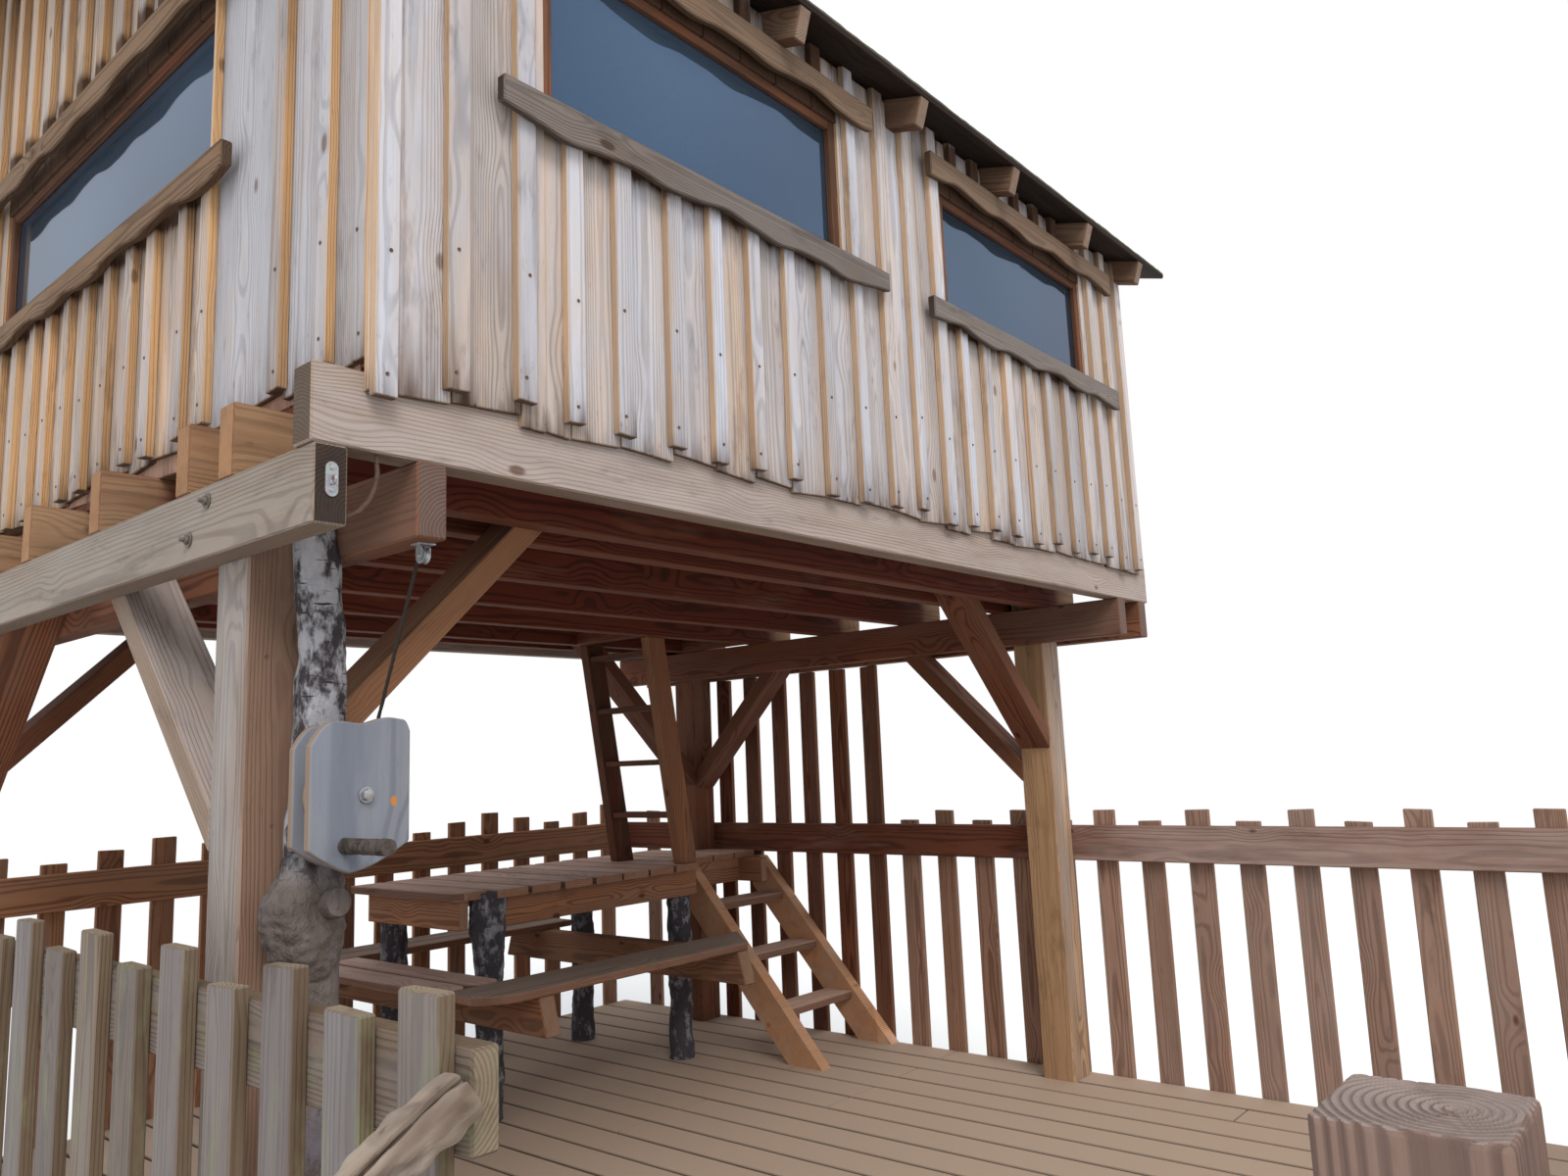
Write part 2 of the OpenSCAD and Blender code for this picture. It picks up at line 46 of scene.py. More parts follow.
# Levels and planes of the house, in metres
POST = 0.150
SPAN_X = 3.620
SPAN_Y = 2.254
BEAM_Z = 2.412
JOIST_Z = 2.570
FLOOR_Z = 2.730
FRONT = -0.485
BACK = 2.739
WALL_LEFT = -0.008
WALL_RIGHT = 3.650
CLAD_LEFT = -0.048
CLAD_RIGHT = 3.690
CLAD_FRONT = -0.525
CLAD_BACK = 2.779
SLOPE = math.radians(18)
ROOF_SLOPE = math.tan(SLOPE)
ROOF_NORMAL = Vector((0, -ROOF_SLOPE, 1)).normalized()
UPHILL = Vector((0, 1, ROOF_SLOPE)).normalized()
DECK = 0.500
DECK_BOARD = 0.027
DECK_FRONT = -2.700
DECK_BACK = 3.030
ENTRY_BACK = -2.155
RAIL_TOP = 1.583
RAIL_Z = RAIL_TOP - 0.0775
PICKET_PITCH = 0.2125
PICKET_HALF = 0.049


def rafter_under(y):
    """Height of the rafters' lower edge."""
    return 4.050 + (y - CLAD_FRONT) * ROOF_SLOPE


# ---------------------------------------------------------------- view
def place_camera():
    """The photographer's place at the entrance, looking up and to the back right."""
    right = (0.64524, -0.76292, -0.04038)
    up = (-0.08857, -0.12720, 0.98791)
    forward = (0.75883, 0.63386, 0.14965)
    place = (-1.159, -2.474, 1.940)
    data = bpy.data.cameras.new("entrance_view")
    data.sensor_width = 36.0
    data.lens = 25.81
    camera = bpy.data.objects.new("entrance_view", data)
    bpy.context.scene.collection.objects.link(camera)
    rows = [[right[i], up[i], -forward[i], place[i]] for i in range(3)]
    camera.matrix_world = Matrix(rows + [[0, 0, 0, 1]])
    bpy.context.scene.camera = camera


# ---------------------------------------------------------------- finishes
def toned(rgb, share):
    """The same tone, darker or lighter."""
    return tuple(share * v for v in rgb)


def rgba(tone):
    return (*tone, 1.0) if isinstance(tone, tuple) else tone


class Mixer:
    """Short words for the steps of a node tree. Each gives the socket that the next step reads."""

    def __init__(self, tree):
        self.tree = tree

    def put(self, value, socket):
        if isinstance(value, bpy.types.NodeSocket):
            self.tree.links.new(value, socket)
        else:
            socket.default_value = value

    def node(self, kind, sockets=(), **settings):
        made = self.tree.nodes.new("ShaderNode" + kind)
        for key, value in settings.items():
            setattr(made, key, value)
        for key, value in dict(sockets).items():
            self.put(value, made.inputs[key])
        return made

    def calc(self, operation, *values, clamp=False):
        made = self.node("Math", dict(enumerate(values)), operation=operation, use_clamp=clamp)
        return made.outputs[0]

    def times(self, a, b):
        return self.calc("MULTIPLY", a, b)

    def fused(self, a, b, c, clamp=False):
        """a times b plus c."""
        return self.calc("MULTIPLY_ADD", a, b, c, clamp=clamp)

    def blend(self, share, one, other, mode="MIX"):
        tones = {0: share, 6: rgba(one), 7: rgba(other)}
        made = self.node("Mix", tones, data_type="RGBA", blend_type=mode, clamp_factor=True)
        return made.outputs[2]

    def stretched(self, place, scale, shift=(0, 0, 0)):
        return self.node("Mapping", {"Vector": place, "Scale": scale, "Location": shift}).outputs[0]

    def cloud(self, place, scale, detail=2.0, rough=0.5, shift=(0, 0, 0)):
        """Soft noise from 0 to 1, finer where scale is larger."""
        spread = self.stretched(place, scale, shift)
        made = self.node("TexNoise", {"Vector": spread, "Scale": 1.0, "Detail": detail,
                                      "Roughness": rough})
        return made.outputs[0]

    def ramp(self, value, low, high):
        limits = {"Value": value, "From Min": low, "From Max": high}
        made = self.node("MapRange", limits, clamp=True, interpolation_type="SMOOTHSTEP")
        return made.outputs[0]

    def place(self):
        return self.node("TexCoord").outputs["Object"]

    def length(self, vector):
        return self.node("VectorMath", {0: vector}, operation="LENGTH").outputs["Value"]

    def seen(self):
        """1 where the camera looks, straight, in a mirror or through glass."""
        rays = self.node("LightPath").outputs
        bent = self.calc("MAXIMUM", rays["Is Glossy Ray"], rays["Is Transmission Ray"])
        return self.calc("MAXIMUM", rays["Is Camera Ray"], bent)


class Finish(Mixer):
    """A new material and the steps that lead to its shader."""

    def __init__(self, name, roughness, shine):
        self.material = bpy.data.materials.new(name)
        self.material.use_nodes = True
        super().__init__(self.material.node_tree)
        self.shader = self.tree.nodes["Principled BSDF"]
        self.set("Roughness", roughness)
        self.set("Specular IOR Level", shine)

    def set(self, socket, value):
        self.put(rgba(value), self.shader.inputs[socket])

    def done(self, body, height=None, strength=1.0, distance=0.001):
        """The mixed tone and its relief go into the shader."""
        self.set("Base Color", body)
        if height is not None:
            relief = {"Height": height, "Strength": strength, "Distance": distance}
            self.set("Normal", self.node("Bump", relief).outputs[0])
        return self.material


def sawn_timber(name, heart, pale, late, grey, flank, end, ring=0.008, knot=0.8, bump=0.5,
                wobble=0.022, glow=0.0, lichen=0.0, end_share=0.8, spot=None, weather=None):
    """Sawn softwood: growth rings that come out as lines along the piece, fibres, knots and a
    grey weathered skin. The piece's own attributes give the grain's place, its tone, age and
    stain; the stain is dirt, and painted shade at some board ends. A plain solid of the frame
    has none: its grain runs along X, and weather is its age."""
    mix = Finish(name, 0.82, 0.22)
    place = mix.place()
    if weather is None:
        grain = mix.node("Attribute", attribute_name="grain").outputs["Vector"]
        finish = mix.node("Attribute", attribute_name="finish").outputs["Vector"]
        own, age, stain = mix.node("SeparateXYZ", {0: finish}).outputs
        side = mix.node("Attribute", attribute_name="flank").outputs["Fac"]
    else:
        grain = mix.stretched(place, (1, 1, 1), (0.7, 0.11, 0.07))
        own, age, stain, side = mix.cloud(place, (0.8, 0.8, 0.8), 0.0), weather, 0.2, 0.0
    second = mix.calc("FRACT", mix.times(own, 7.3))
    third = mix.calc("FRACT", mix.times(own, 3.7))
    on_flank = mix.calc("MINIMUM", side, 1.0)
    fibre = mix.cloud(grain, (5, 230, 230), 3.0, 0.6)
    patch = mix.cloud(grain, (1.1, 8, 8), 3.0, 0.6, (3, 0, 1))
    blotch = mix.cloud(grain, (4, 24, 24), 3.0, 0.6, (5, 2, 8))

    # Growth rings, pushed aside round the knots
    cells = {"Vector": mix.stretched(grain, (3.1, 6.2, 6.2)), "Scale": 1.0}
    knots = mix.node("TexVoronoi", cells).outputs["Distance"]
    _, a, b = mix.node("SeparateXYZ", {0: grain}).outputs
    radius = mix.calc("SQRT", mix.calc("ADD", mix.times(a, a), mix.times(b, b)))
    radius = mix.fused(mix.cloud(grain, (1.7, 11, 11), 2.0), wobble, radius)
    radius = mix.fused(mix.ramp(knots, 0.42, 0.05), 0.7 * wobble, radius)
    lines = mix.ramp(mix.calc("SINE", mix.times(radius, 2 * math.pi / ring)), -0.1, 1.0)

    fresh = mix.blend(mix.fused(own, 0.6, mix.times(fibre, 0.4)), heart, pale)
    fresh = mix.blend(mix.times(lines, 0.75), fresh, late)
    if glow:
        streaks = mix.ramp(mix.cloud(grain, (0.9, 13, 13), 3.0, 0.6, (6, 3, 1)), 0.46, 0.64)
        fresh = mix.blend(mix.times(streaks, glow), fresh, flank)
    skin = mix.blend(second, grey, (0.98 * grey[0], 0.88 * grey[1], 0.78 * grey[2]))
    skin = mix.blend(mix.times(lines, 0.55), skin, toned(grey, 0.55))
    skin = mix.blend(mix.times(fibre, 0.6), skin, toned(grey, 0.68))
    aged = mix.fused(patch, 1.2, mix.fused(blotch, 0.9, -1.05))
    aged = mix.calc("ADD", aged, age, clamp=True)
    aged = mix.times(aged, mix.calc("SUBTRACT", 1.0, mix.times(on_flank, 0.8)))
    body = mix.blend(aged, fresh, skin)

    flank_now = mix.blend(mix.times(patch, 1.1), flank, toned(flank, 0.62))
    body = mix.blend(mix.times(on_flank, 0.75), body, flank_now)
    cut = mix.blend(mix.times(lines, 0.6), end, toned(end, 0.5))
    body = mix.blend(mix.times(mix.ramp(side, 1.2, 1.9), end_share), body, cut)
    body = mix.blend(mix.times(third, 0.8), body, (0.70, 0.68, 0.67), "MULTIPLY")
    core = mix.times(mix.ramp(mix.fused(blotch, 0.05, knots), 0.118, 0.070), knot)
    body = mix.blend(core, body, (0.50 * late[0], 0.36 * late[1], 0.30 * late[2]))

    smudge = mix.ramp(mix.cloud(grain, (3.5, 15, 15), 4.0, 0.7, (9, 2, 4)), 0.56, 0.72)
    body = mix.blend(mix.times(smudge, 0.55), body, (0.50, 0.47, 0.46), "MULTIPLY")
    specks = mix.ramp(mix.cloud(grain, (24, 70, 70), 2.0, 0.7), 0.62, 0.76)
    dirt = mix.ramp(mix.cloud(grain, (2.2, 16, 16), 3.0, 0.65, (1, 5, 2)), 0.40, 0.72)
    soil_and_shade = mix.fused(dirt, 0.7, mix.fused(specks, 0.5, 0.12))
    # Where the stain passes 1, as set at board ends beside windows and under the roof, it is
    # painted shade and takes the wood to the dark brown below; below 1 it is dirt.
    heavy_soil_and_shade = mix.ramp(mix.fused(blotch, 0.7, stain), 0.95, 1.85)
    soil_and_shade = mix.fused(stain, soil_and_shade, mix.times(heavy_soil_and_shade, 0.75), clamp=True)
    body = mix.blend(soil_and_shade, body, (0.070, 0.036, 0.020))
    if lichen:
        growth = mix.ramp(mix.cloud(grain, (4, 14, 14), 4.0, 0.7, (7, 1, 9)), 0.5, 0.7)
        body = mix.blend(mix.times(growth, lichen), body, (0.20, 0.22, 0.11))
    if spot:
        ragged = mix.cloud(place, (110, 110, 70), 3.0, 0.6)
        off = mix.stretched(place, (1, 1, 0.7), (-spot[0], -spot[1], -0.7 * spot[2]))
        reach = mix.fused(ragged, 0.008, mix.length(off))
        body = mix.blend(mix.ramp(reach, 0.0125, 0.0085), body, (0.50, 0.19, 0.03))

    mix.set("Roughness", mix.fused(fibre, 0.25, 0.68))
    height = mix.fused(core, 0.8, mix.fused(lines, -0.7, mix.times(fibre, 0.9)))
    return mix.done(body, height, bump, 0.0022)


def birch_bark(name, pale, dark, cover, bare=0.0, height=1.0, fine=1.0):
    """Bark in rough patches of two tones, with fine dark dashes round the stem and bare wood
    below the level bare."""
    mix = Finish(name, 0.85, 0.2)
    place = mix.place()
    patch = mix.cloud(place, (9 * fine, 9 * fine, 5 * fine), 5.0, 0.68)
    flecks = mix.cloud(place, (14, 14, 120), 2.0, 0.5, (2, 3, 1))
    crust = mix.cloud(place, (55, 55, 40), 4.0, 0.7)
    share = mix.ramp(patch, cover - 0.07, cover + 0.08)
    skin = mix.blend(crust, pale, toned(pale, 0.45))
    skin = mix.blend(mix.ramp(flecks, 0.62, 0.70), skin, dark)
    body = mix.blend(share, skin, mix.blend(crust, dark, toned(dark, 2.6)))
    if bare:
        veins = mix.cloud(place, (34, 34, 7), 4.0, 0.7)
        wood = mix.blend(veins, (0.20, 0.165, 0.145), (0.060, 0.045, 0.040))
        violet = mix.ramp(mix.cloud(place, (12, 12, 8), 3.0), 0.5, 0.75)
        wood = mix.blend(violet, wood, (0.17, 0.15, 0.19))
        limit = mix.fused(patch, 0.22, mix.node("SeparateXYZ", {0: place}).outputs[2])
        body = mix.blend(mix.ramp(limit, bare + 0.20, bare + 0.08), body, wood)
    return mix.done(body, mix.fused(share, 0.8, crust), 0.8, 0.006 * height)


def galvanised(name, base=(0.40, 0.41, 0.43), rough=0.42):
    mix = Finish(name, rough, 0.5)
    place = mix.place()
    spangle = mix.node("TexVoronoi", {"Vector": place, "Scale": 260.0}).outputs["Color"]
    wear = mix.cloud(place, (60, 60, 60), 3.0)
    body = mix.blend(0.18, base, spangle, "OVERLAY")
    body = mix.blend(mix.ramp(wear, 0.55, 0.75), body, (0.17, 0.13, 0.10))
    mix.set("Roughness", mix.fused(wear, 0.4, rough - 0.15))
    mix.set("Metallic", 0.85)
    return mix.done(body, wear, 0.25, 0.0006)


def mossy_felt():
    mix = Finish("mossy_roof_felt", 0.95, 0.1)
    moss = mix.cloud(mix.place(), (5, 5, 5), 6.0, 0.7)
    grit = mix.cloud(mix.place(), (120, 120, 120), 3.0, 0.8)
    felt = mix.blend(grit, (0.075, 0.070, 0.062), (0.16, 0.15, 0.13))
    green = mix.blend(grit, (0.085, 0.095, 0.045), (0.22, 0.22, 0.13))
    body = mix.blend(mix.times(mix.ramp(moss, 0.40, 0.66), 0.8), felt, green)
    return mix.done(body, mix.fused(moss, 3.0, grit), 0.9, 0.006)


def concrete():
    mix = Finish("cast_concrete", 0.9, 0.2)
    tint = mix.cloud(mix.place(), (6, 6, 6), 4.0, 0.6)
    pits = mix.ramp(mix.cloud(mix.place(), (90, 90, 90), 2.0, 0.6), 0.30, 0.42)
    body = mix.blend(tint, (0.30, 0.29, 0.27), (0.44, 0.43, 0.40))
    return mix.done(mix.blend(pits, (0.12, 0.11, 0.10), body), pits, 0.6, 0.002)


def dark_glass():
    """Clear panes of an unlit room, with faint rain marks in the roughness. The dark base colour is
    painted shade of the room behind, with blue patches and a blue specular tint as painted sky
    reflection.
    """
    mix = Finish("unlit_window_glass", 0.04, 0.6)
    marks = mix.cloud(mix.place(), (2, 2, 5), 3.0, 0.5)
    # Painted shade and painted reflection: the base colour runs from dark, for the unlit room, to
    # blue, for the sky.
    depth = mix.ramp(mix.cloud(mix.place(), (0.9, 0.9, 1.2), 1.0, 0.4, (4, 2, 7)), 0.15, 0.85)
    mix.set("Roughness", mix.fused(marks, 0.05, 0.01))
    mix.set("IOR", 2.0)
    # Painted reflection: a blue tint that makes the white sky's reflection look blue.
    mix.set("Specular Tint", (0.26, 0.52, 1.0))
    mix.set("Alpha", 0.9)
    return mix.done(mix.blend(depth, (0.016, 0.022, 0.028), (0.052, 0.078, 0.118)))


def twisted_rope():
    mix = Finish("dark_braided_rope", 0.9, 0.15)
    strands = mix.cloud(mix.place(), (420, 420, 160), 2.0, 0.5)
    body = mix.blend(strands, (0.012, 0.010, 0.009), (0.045, 0.036, 0.030))
    return mix.done(body, strands, 0.8, 0.001)


# Tones: heart wood, pale wood, late-wood lines, grey skin, sawn flank, cut end
# Painted shade: the cut-end tone of these wall boards is darker than end grain alone, for the board
# and batten feet that face down.
LARCH = sawn_timber(
    "silvered_larch_boards", (0.50, 0.37, 0.26), (0.64, 0.54, 0.43), (0.29, 0.205, 0.15),
    (0.60, 0.62, 0.70), (0.76, 0.50, 0.30), (0.10, 0.068, 0.05),
    ring=0.006, knot=0.7, bump=0.7, wobble=0.012, glow=0.6)
LEFT_LARCH = sawn_timber(
    "straw_and_silver_boards", (0.46, 0.31, 0.18), (0.58, 0.44, 0.29), (0.23, 0.145, 0.085),
    (0.49, 0.485, 0.52), (0.70, 0.40, 0.18), (0.10, 0.068, 0.05),
    ring=0.006, knot=0.7, bump=0.7, wobble=0.012, glow=0.9)
RIM = sawn_timber(
    "grey_rim_beams", (0.37, 0.25, 0.175), (0.50, 0.39, 0.30), (0.20, 0.13, 0.09),
    (0.50, 0.45, 0.44), (0.34, 0.25, 0.19), (0.075, 0.055, 0.040))
BEAM = sawn_timber(
    "grey_brown_beams", (0.21, 0.14, 0.09), (0.31, 0.225, 0.16), (0.12, 0.075, 0.05),
    (0.31, 0.27, 0.235), (0.24, 0.17, 0.13), (0.022, 0.015, 0.013), end_share=0.92)
BROWN = sawn_timber(
    "red_brown_timber", (0.18, 0.056, 0.028), (0.30, 0.115, 0.055), (0.080, 0.024, 0.013),
    (0.25, 0.17, 0.13), (0.22, 0.09, 0.046), (0.24, 0.165, 0.13))
INNER = sawn_timber(
    "inner_beams", (0.18, 0.056, 0.028), (0.30, 0.115, 0.055), (0.080, 0.024, 0.013),
    (0.22, 0.125, 0.090), (0.22, 0.09, 0.046), (0.15, 0.11, 0.095))
ORANGE = sawn_timber(
    "orange_brown_timber", (0.33, 0.135, 0.062), (0.46, 0.22, 0.11), (0.15, 0.055, 0.028),
    (0.34, 0.23, 0.17), (0.38, 0.18, 0.09), (0.40, 0.25, 0.17))
JOIST = sawn_timber(
    "dark_joists", (0.11, 0.021, 0.010), (0.18, 0.040, 0.018), (0.050, 0.010, 0.006),
    (0.40, 0.245, 0.14), (0.24, 0.085, 0.042), (0.42, 0.235, 0.115))
RAFTER = sawn_timber(
    "rafter_timber", (0.17, 0.088, 0.050), (0.26, 0.15, 0.092), (0.085, 0.043, 0.026),
    (0.30, 0.215, 0.16), (0.17, 0.088, 0.050), (0.34, 0.245, 0.185))
SOFFIT = sawn_timber(
    "shaded_roof_boards", (0.018, 0.011, 0.008), (0.032, 0.020, 0.014), (0.010, 0.006, 0.005),
    (0.027, 0.019, 0.015), (0.026, 0.016, 0.011), (0.045, 0.027, 0.019))
FENCE = sawn_timber(
    "brown_fence_timber", (0.33, 0.165, 0.10), (0.44, 0.265, 0.185), (0.18, 0.088, 0.056),
    (0.42, 0.31, 0.265), (0.32, 0.18, 0.12), (0.46, 0.41, 0.37), ring=0.007)
# The rail's dark red-brown on its stretch under the cabin is partly the wood's own tone and partly
# painted shade.
RAIL = sawn_timber(
    "weathered_rail_and_painted_shade", (0.16, 0.050, 0.026), (0.25, 0.092, 0.048),
    (0.085, 0.026, 0.015), (0.45, 0.325, 0.28), (0.27, 0.15, 0.10), (0.40, 0.32, 0.27), knot=0.9)
GREEN_FENCE = sawn_timber(
    "grey_green_fence_timber", (0.18, 0.12, 0.075), (0.28, 0.22, 0.15), (0.10, 0.068, 0.045),
    (0.225, 0.205, 0.205), (0.17, 0.115, 0.07), (0.30, 0.235, 0.165), ring=0.007, lichen=0.4)
NEWEL = sawn_timber(
    "grooved_newel", (0.25, 0.155, 0.115), (0.32, 0.215, 0.17), (0.11, 0.062, 0.044),
    (0.29, 0.205, 0.18), (0.25, 0.155, 0.12), (0.36, 0.29, 0.265),
    ring=0.0085, knot=0.3, bump=0.6, wobble=0.003)
SILL = sawn_timber(
    "grey_live_edge", (0.17, 0.125, 0.095), (0.25, 0.20, 0.165), (0.095, 0.072, 0.058),
    (0.215, 0.19, 0.18), (0.10, 0.075, 0.06), (0.05, 0.035, 0.03), ring=0.007, knot=0.9)
LIVE_EDGE = sawn_timber(
    "brown_live_edge", (0.19, 0.11, 0.06), (0.27, 0.17, 0.10), (0.10, 0.055, 0.03),
    (0.215, 0.155, 0.115), (0.11, 0.06, 0.034), (0.10, 0.07, 0.05), ring=0.010)
DECKING = sawn_timber(
    "worn_deck_boards", (0.47, 0.345, 0.255), (0.62, 0.49, 0.38), (0.29, 0.205, 0.15),
    (0.62, 0.53, 0.445), (0.045, 0.03, 0.022), (0.09, 0.065, 0.05), ring=0.010, knot=0.6)
TABLE = sawn_timber(
    "table_and_bench_timber", (0.50, 0.26, 0.17), (0.70, 0.445, 0.32), (0.25, 0.13, 0.086),
    (0.68, 0.49, 0.42), (0.13, 0.060, 0.036), (0.42, 0.22, 0.13), ring=0.009, knot=0.6)
BENCH = sawn_timber(
    "bench_timber", (0.30, 0.17, 0.11), (0.42, 0.28, 0.20), (0.16, 0.095, 0.062),
    (0.40, 0.325, 0.27), (0.32, 0.15, 0.09), (0.42, 0.22, 0.13), ring=0.009, knot=0.6)
HONEY = sawn_timber(
    "orange_brown_post", (0.42, 0.235, 0.12), (0.56, 0.36, 0.20), (0.23, 0.12, 0.06),
    (0.34, 0.35, 0.37), (0.54, 0.32, 0.165), (0.30, 0.2, 0.12))
LEFT_POST = sawn_timber(
    "left_post_timber", (0.27, 0.16, 0.10), (0.36, 0.26, 0.19), (0.15, 0.085, 0.055),
    (0.38, 0.35, 0.335), (0.29, 0.165, 0.11), (0.2, 0.14, 0.1), ring=0.0065, knot=0.7)
PLATE = sawn_timber(
    "silvered_winch_boards", (0.27, 0.28, 0.30), (0.36, 0.385, 0.42), (0.19, 0.215, 0.25),
    (0.275, 0.32, 0.41), (0.42, 0.27, 0.155), (0.3, 0.2, 0.12),
    ring=0.014, knot=0.15, bump=0.3, spot=(0.123, -0.330, 1.886))
BRANCH_WOOD = sawn_timber(
    "debarked_branch", (0.35, 0.265, 0.195), (0.52, 0.435, 0.35), (0.17, 0.125, 0.095),
    (0.54, 0.485, 0.425), (0.2, 0.14, 0.1), (0.3, 0.22, 0.16), ring=0.017, bump=0.9)
STAIR_GRAIN = sawn_timber(
    "stair_side_timber", (0.66, 0.29, 0.13), (0.80, 0.46, 0.25), (0.34, 0.145, 0.065),
    (0.64, 0.48, 0.37), (0.2, 0.1, 0.06), (0.2, 0.1, 0.06), knot=0.5, weather=0.25)
POLE_BARK = birch_bark("birch_pole_bark", (0.43, 0.42, 0.44), (0.022, 0.018, 0.020), 0.505,
                       bare=1.72, fine=2.2)
PEG_BARK = birch_bark("peg_bark", (0.12, 0.095, 0.08), (0.022, 0.018, 0.016), 0.50,
                      height=0.2, fine=4.0)
TWIG = birch_bark("twig_bark", (0.13, 0.08, 0.055), (0.05, 0.03, 0.022), 0.5, height=0.3)
LEG_BARK = birch_bark("dark_birch_bark", (0.40, 0.40, 0.43), (0.034, 0.031, 0.036), 0.44,
                      fine=2.6)
ZINC = galvanised("galvanised_fittings")
DULL = galvanised("dull_bolts", (0.19, 0.165, 0.145), 0.55)
RUSTY = galvanised("rusty_steel", (0.16, 0.09, 0.06), 0.6)
FELT = mossy_felt()
CONCRETE = concrete()
GLASS = dark_glass()
ROPE = twisted_rope()


# ---------------------------------------------------------------- bench tools
def put_down():
    """Nothing is selected and no piece is open, so the next cut acts on its own piece alone."""
    if bpy.context.object and bpy.context.object.mode != "OBJECT":
        bpy.ops.object.mode_set(mode="OBJECT")
    bpy.ops.object.select_all(action="DESELECT")


def pick(piece):
    put_down()
    bpy.context.view_layer.objects.active = piece
    piece.select_set(True)


def started(operator, **settings):
    """A new piece from a plain shape."""
    put_down()
    operator(**settings)
    return bpy.context.object


def open_piece(piece):
    pick(piece)
    bpy.ops.object.mode_set(mode="EDIT")
    bpy.ops.mesh.select_all(action="SELECT")


def close_piece():
    bpy.ops.object.mode_set(mode="OBJECT")


def settle(piece):
    """The place goes into the mesh, so that the object sits at the origin, unturned."""
    pick(piece)
    bpy.ops.object.transform_apply(location=True, rotation=True, scale=True)


def apply_all(piece):
    pick(piece)
    for modifier in list(piece.modifiers):
        bpy.ops.object.modifier_apply(modifier=modifier.name)


def turn_out(piece):
    """All faces point outwards."""
    open_piece(piece)
    bpy.ops.mesh.normals_make_consistent(inside=False)
    close_piece()


def soft_block(place, size, worn):
    """A block with rounded edges."""
    block = started(bpy.ops.mesh.primitive_cube_add, size=1, location=place, scale=size)
    settle(block)
    open_piece(block)
    bpy.ops.mesh.bevel(offset=worn, segments=2)
    close_piece()
    return block


def thicken(piece, thickness):
    sheet = piece.modifiers.new("thickness", "SOLIDIFY")
    sheet.thickness = thickness
    sheet.offset = 0


def smooth(piece, degrees):
    pick(piece)
    bpy.ops.object.shade_smooth_by_angle(angle=math.radians(degrees))


def cut_across(planes):
    """The open piece is cut along each plane, a point and a normal, and stays whole."""
    for point, normal in planes:
        bpy.ops.mesh.select_all(action="SELECT")
        bpy.ops.mesh.bisect(plane_co=point, plane_no=normal)


def wear_rims(piece, width, segments=2, degrees=30):
    rim = piece.modifiers.new("worn_rim", "BEVEL")
    rim.width = width
    rim.segments = segments
    rim.limit_method = "ANGLE"
    rim.angle_limit = math.radians(degrees)


def points_of(mesh):
    flat = np.empty(len(mesh.vertices) * 3, dtype=np.float64)
    mesh.vertices.foreach_get("co", flat)
    return flat.reshape(-1, 3)


def set_points(mesh, places):
    mesh.vertices.foreach_set("co", np.ascontiguousarray(places, dtype=np.float32).ravel())
    mesh.update()


def mark(mesh, name, kind, domain, values, field):
    layer = mesh.attributes.get(name) or mesh.attributes.new(name, kind, domain)
    layer.data.foreach_set(field, np.ascontiguousarray(values, dtype=np.float32).ravel())


def mark_grain(mesh, places, along, across, through, heart, seed):
    """Each point's place in its log: along the trunk, and two ways out from its heart."""
    away = places - np.array(heart)
    ways = [places @ np.array(along) + seed, away @ np.array(across), away @ np.array(through)]
    mark(mesh, "grain", "FLOAT_VECTOR", "POINT", np.stack(ways, axis=1), "vector")


# Sawn blanks: the outer tenth at each side is the broken edge
EDGE_SHARE = 0.1
BLANKS = {}


def sawn_blank(cuts):
    """A sawn length, one metre each way, with broken edges and cuts across it."""
    blank = started(bpy.ops.mesh.primitive_cube_add, size=1, location=(0.5, 0, 0))
    settle(blank)
    open_piece(blank)
    bpy.ops.mesh.bevel(offset=EDGE_SHARE, segments=1)
    cut_across([((0.1 + 0.8 * k / cuts, 0, 0), X) for k in range(1, cuts)])
    close_piece()
    mesh = blank.data
    flank = []
    for face in mesh.polygons:
        x, y, z = (abs(v) > 0.9 for v in face.normal)
        flank.append(2.0 if x else 1.0 if y else 0.0 if z else 0.45)
    mark(mesh, "flank", "FLOAT", "FACE", flank, "value")
    mesh.name = "sawn_blank_%d" % cuts
    bpy.data.objects.remove(blank)
    return mesh


def new_object(name, mesh):
    piece = bpy.data.objects.new(name, mesh)
    bpy.context.scene.collection.objects.link(piece)
    return piece


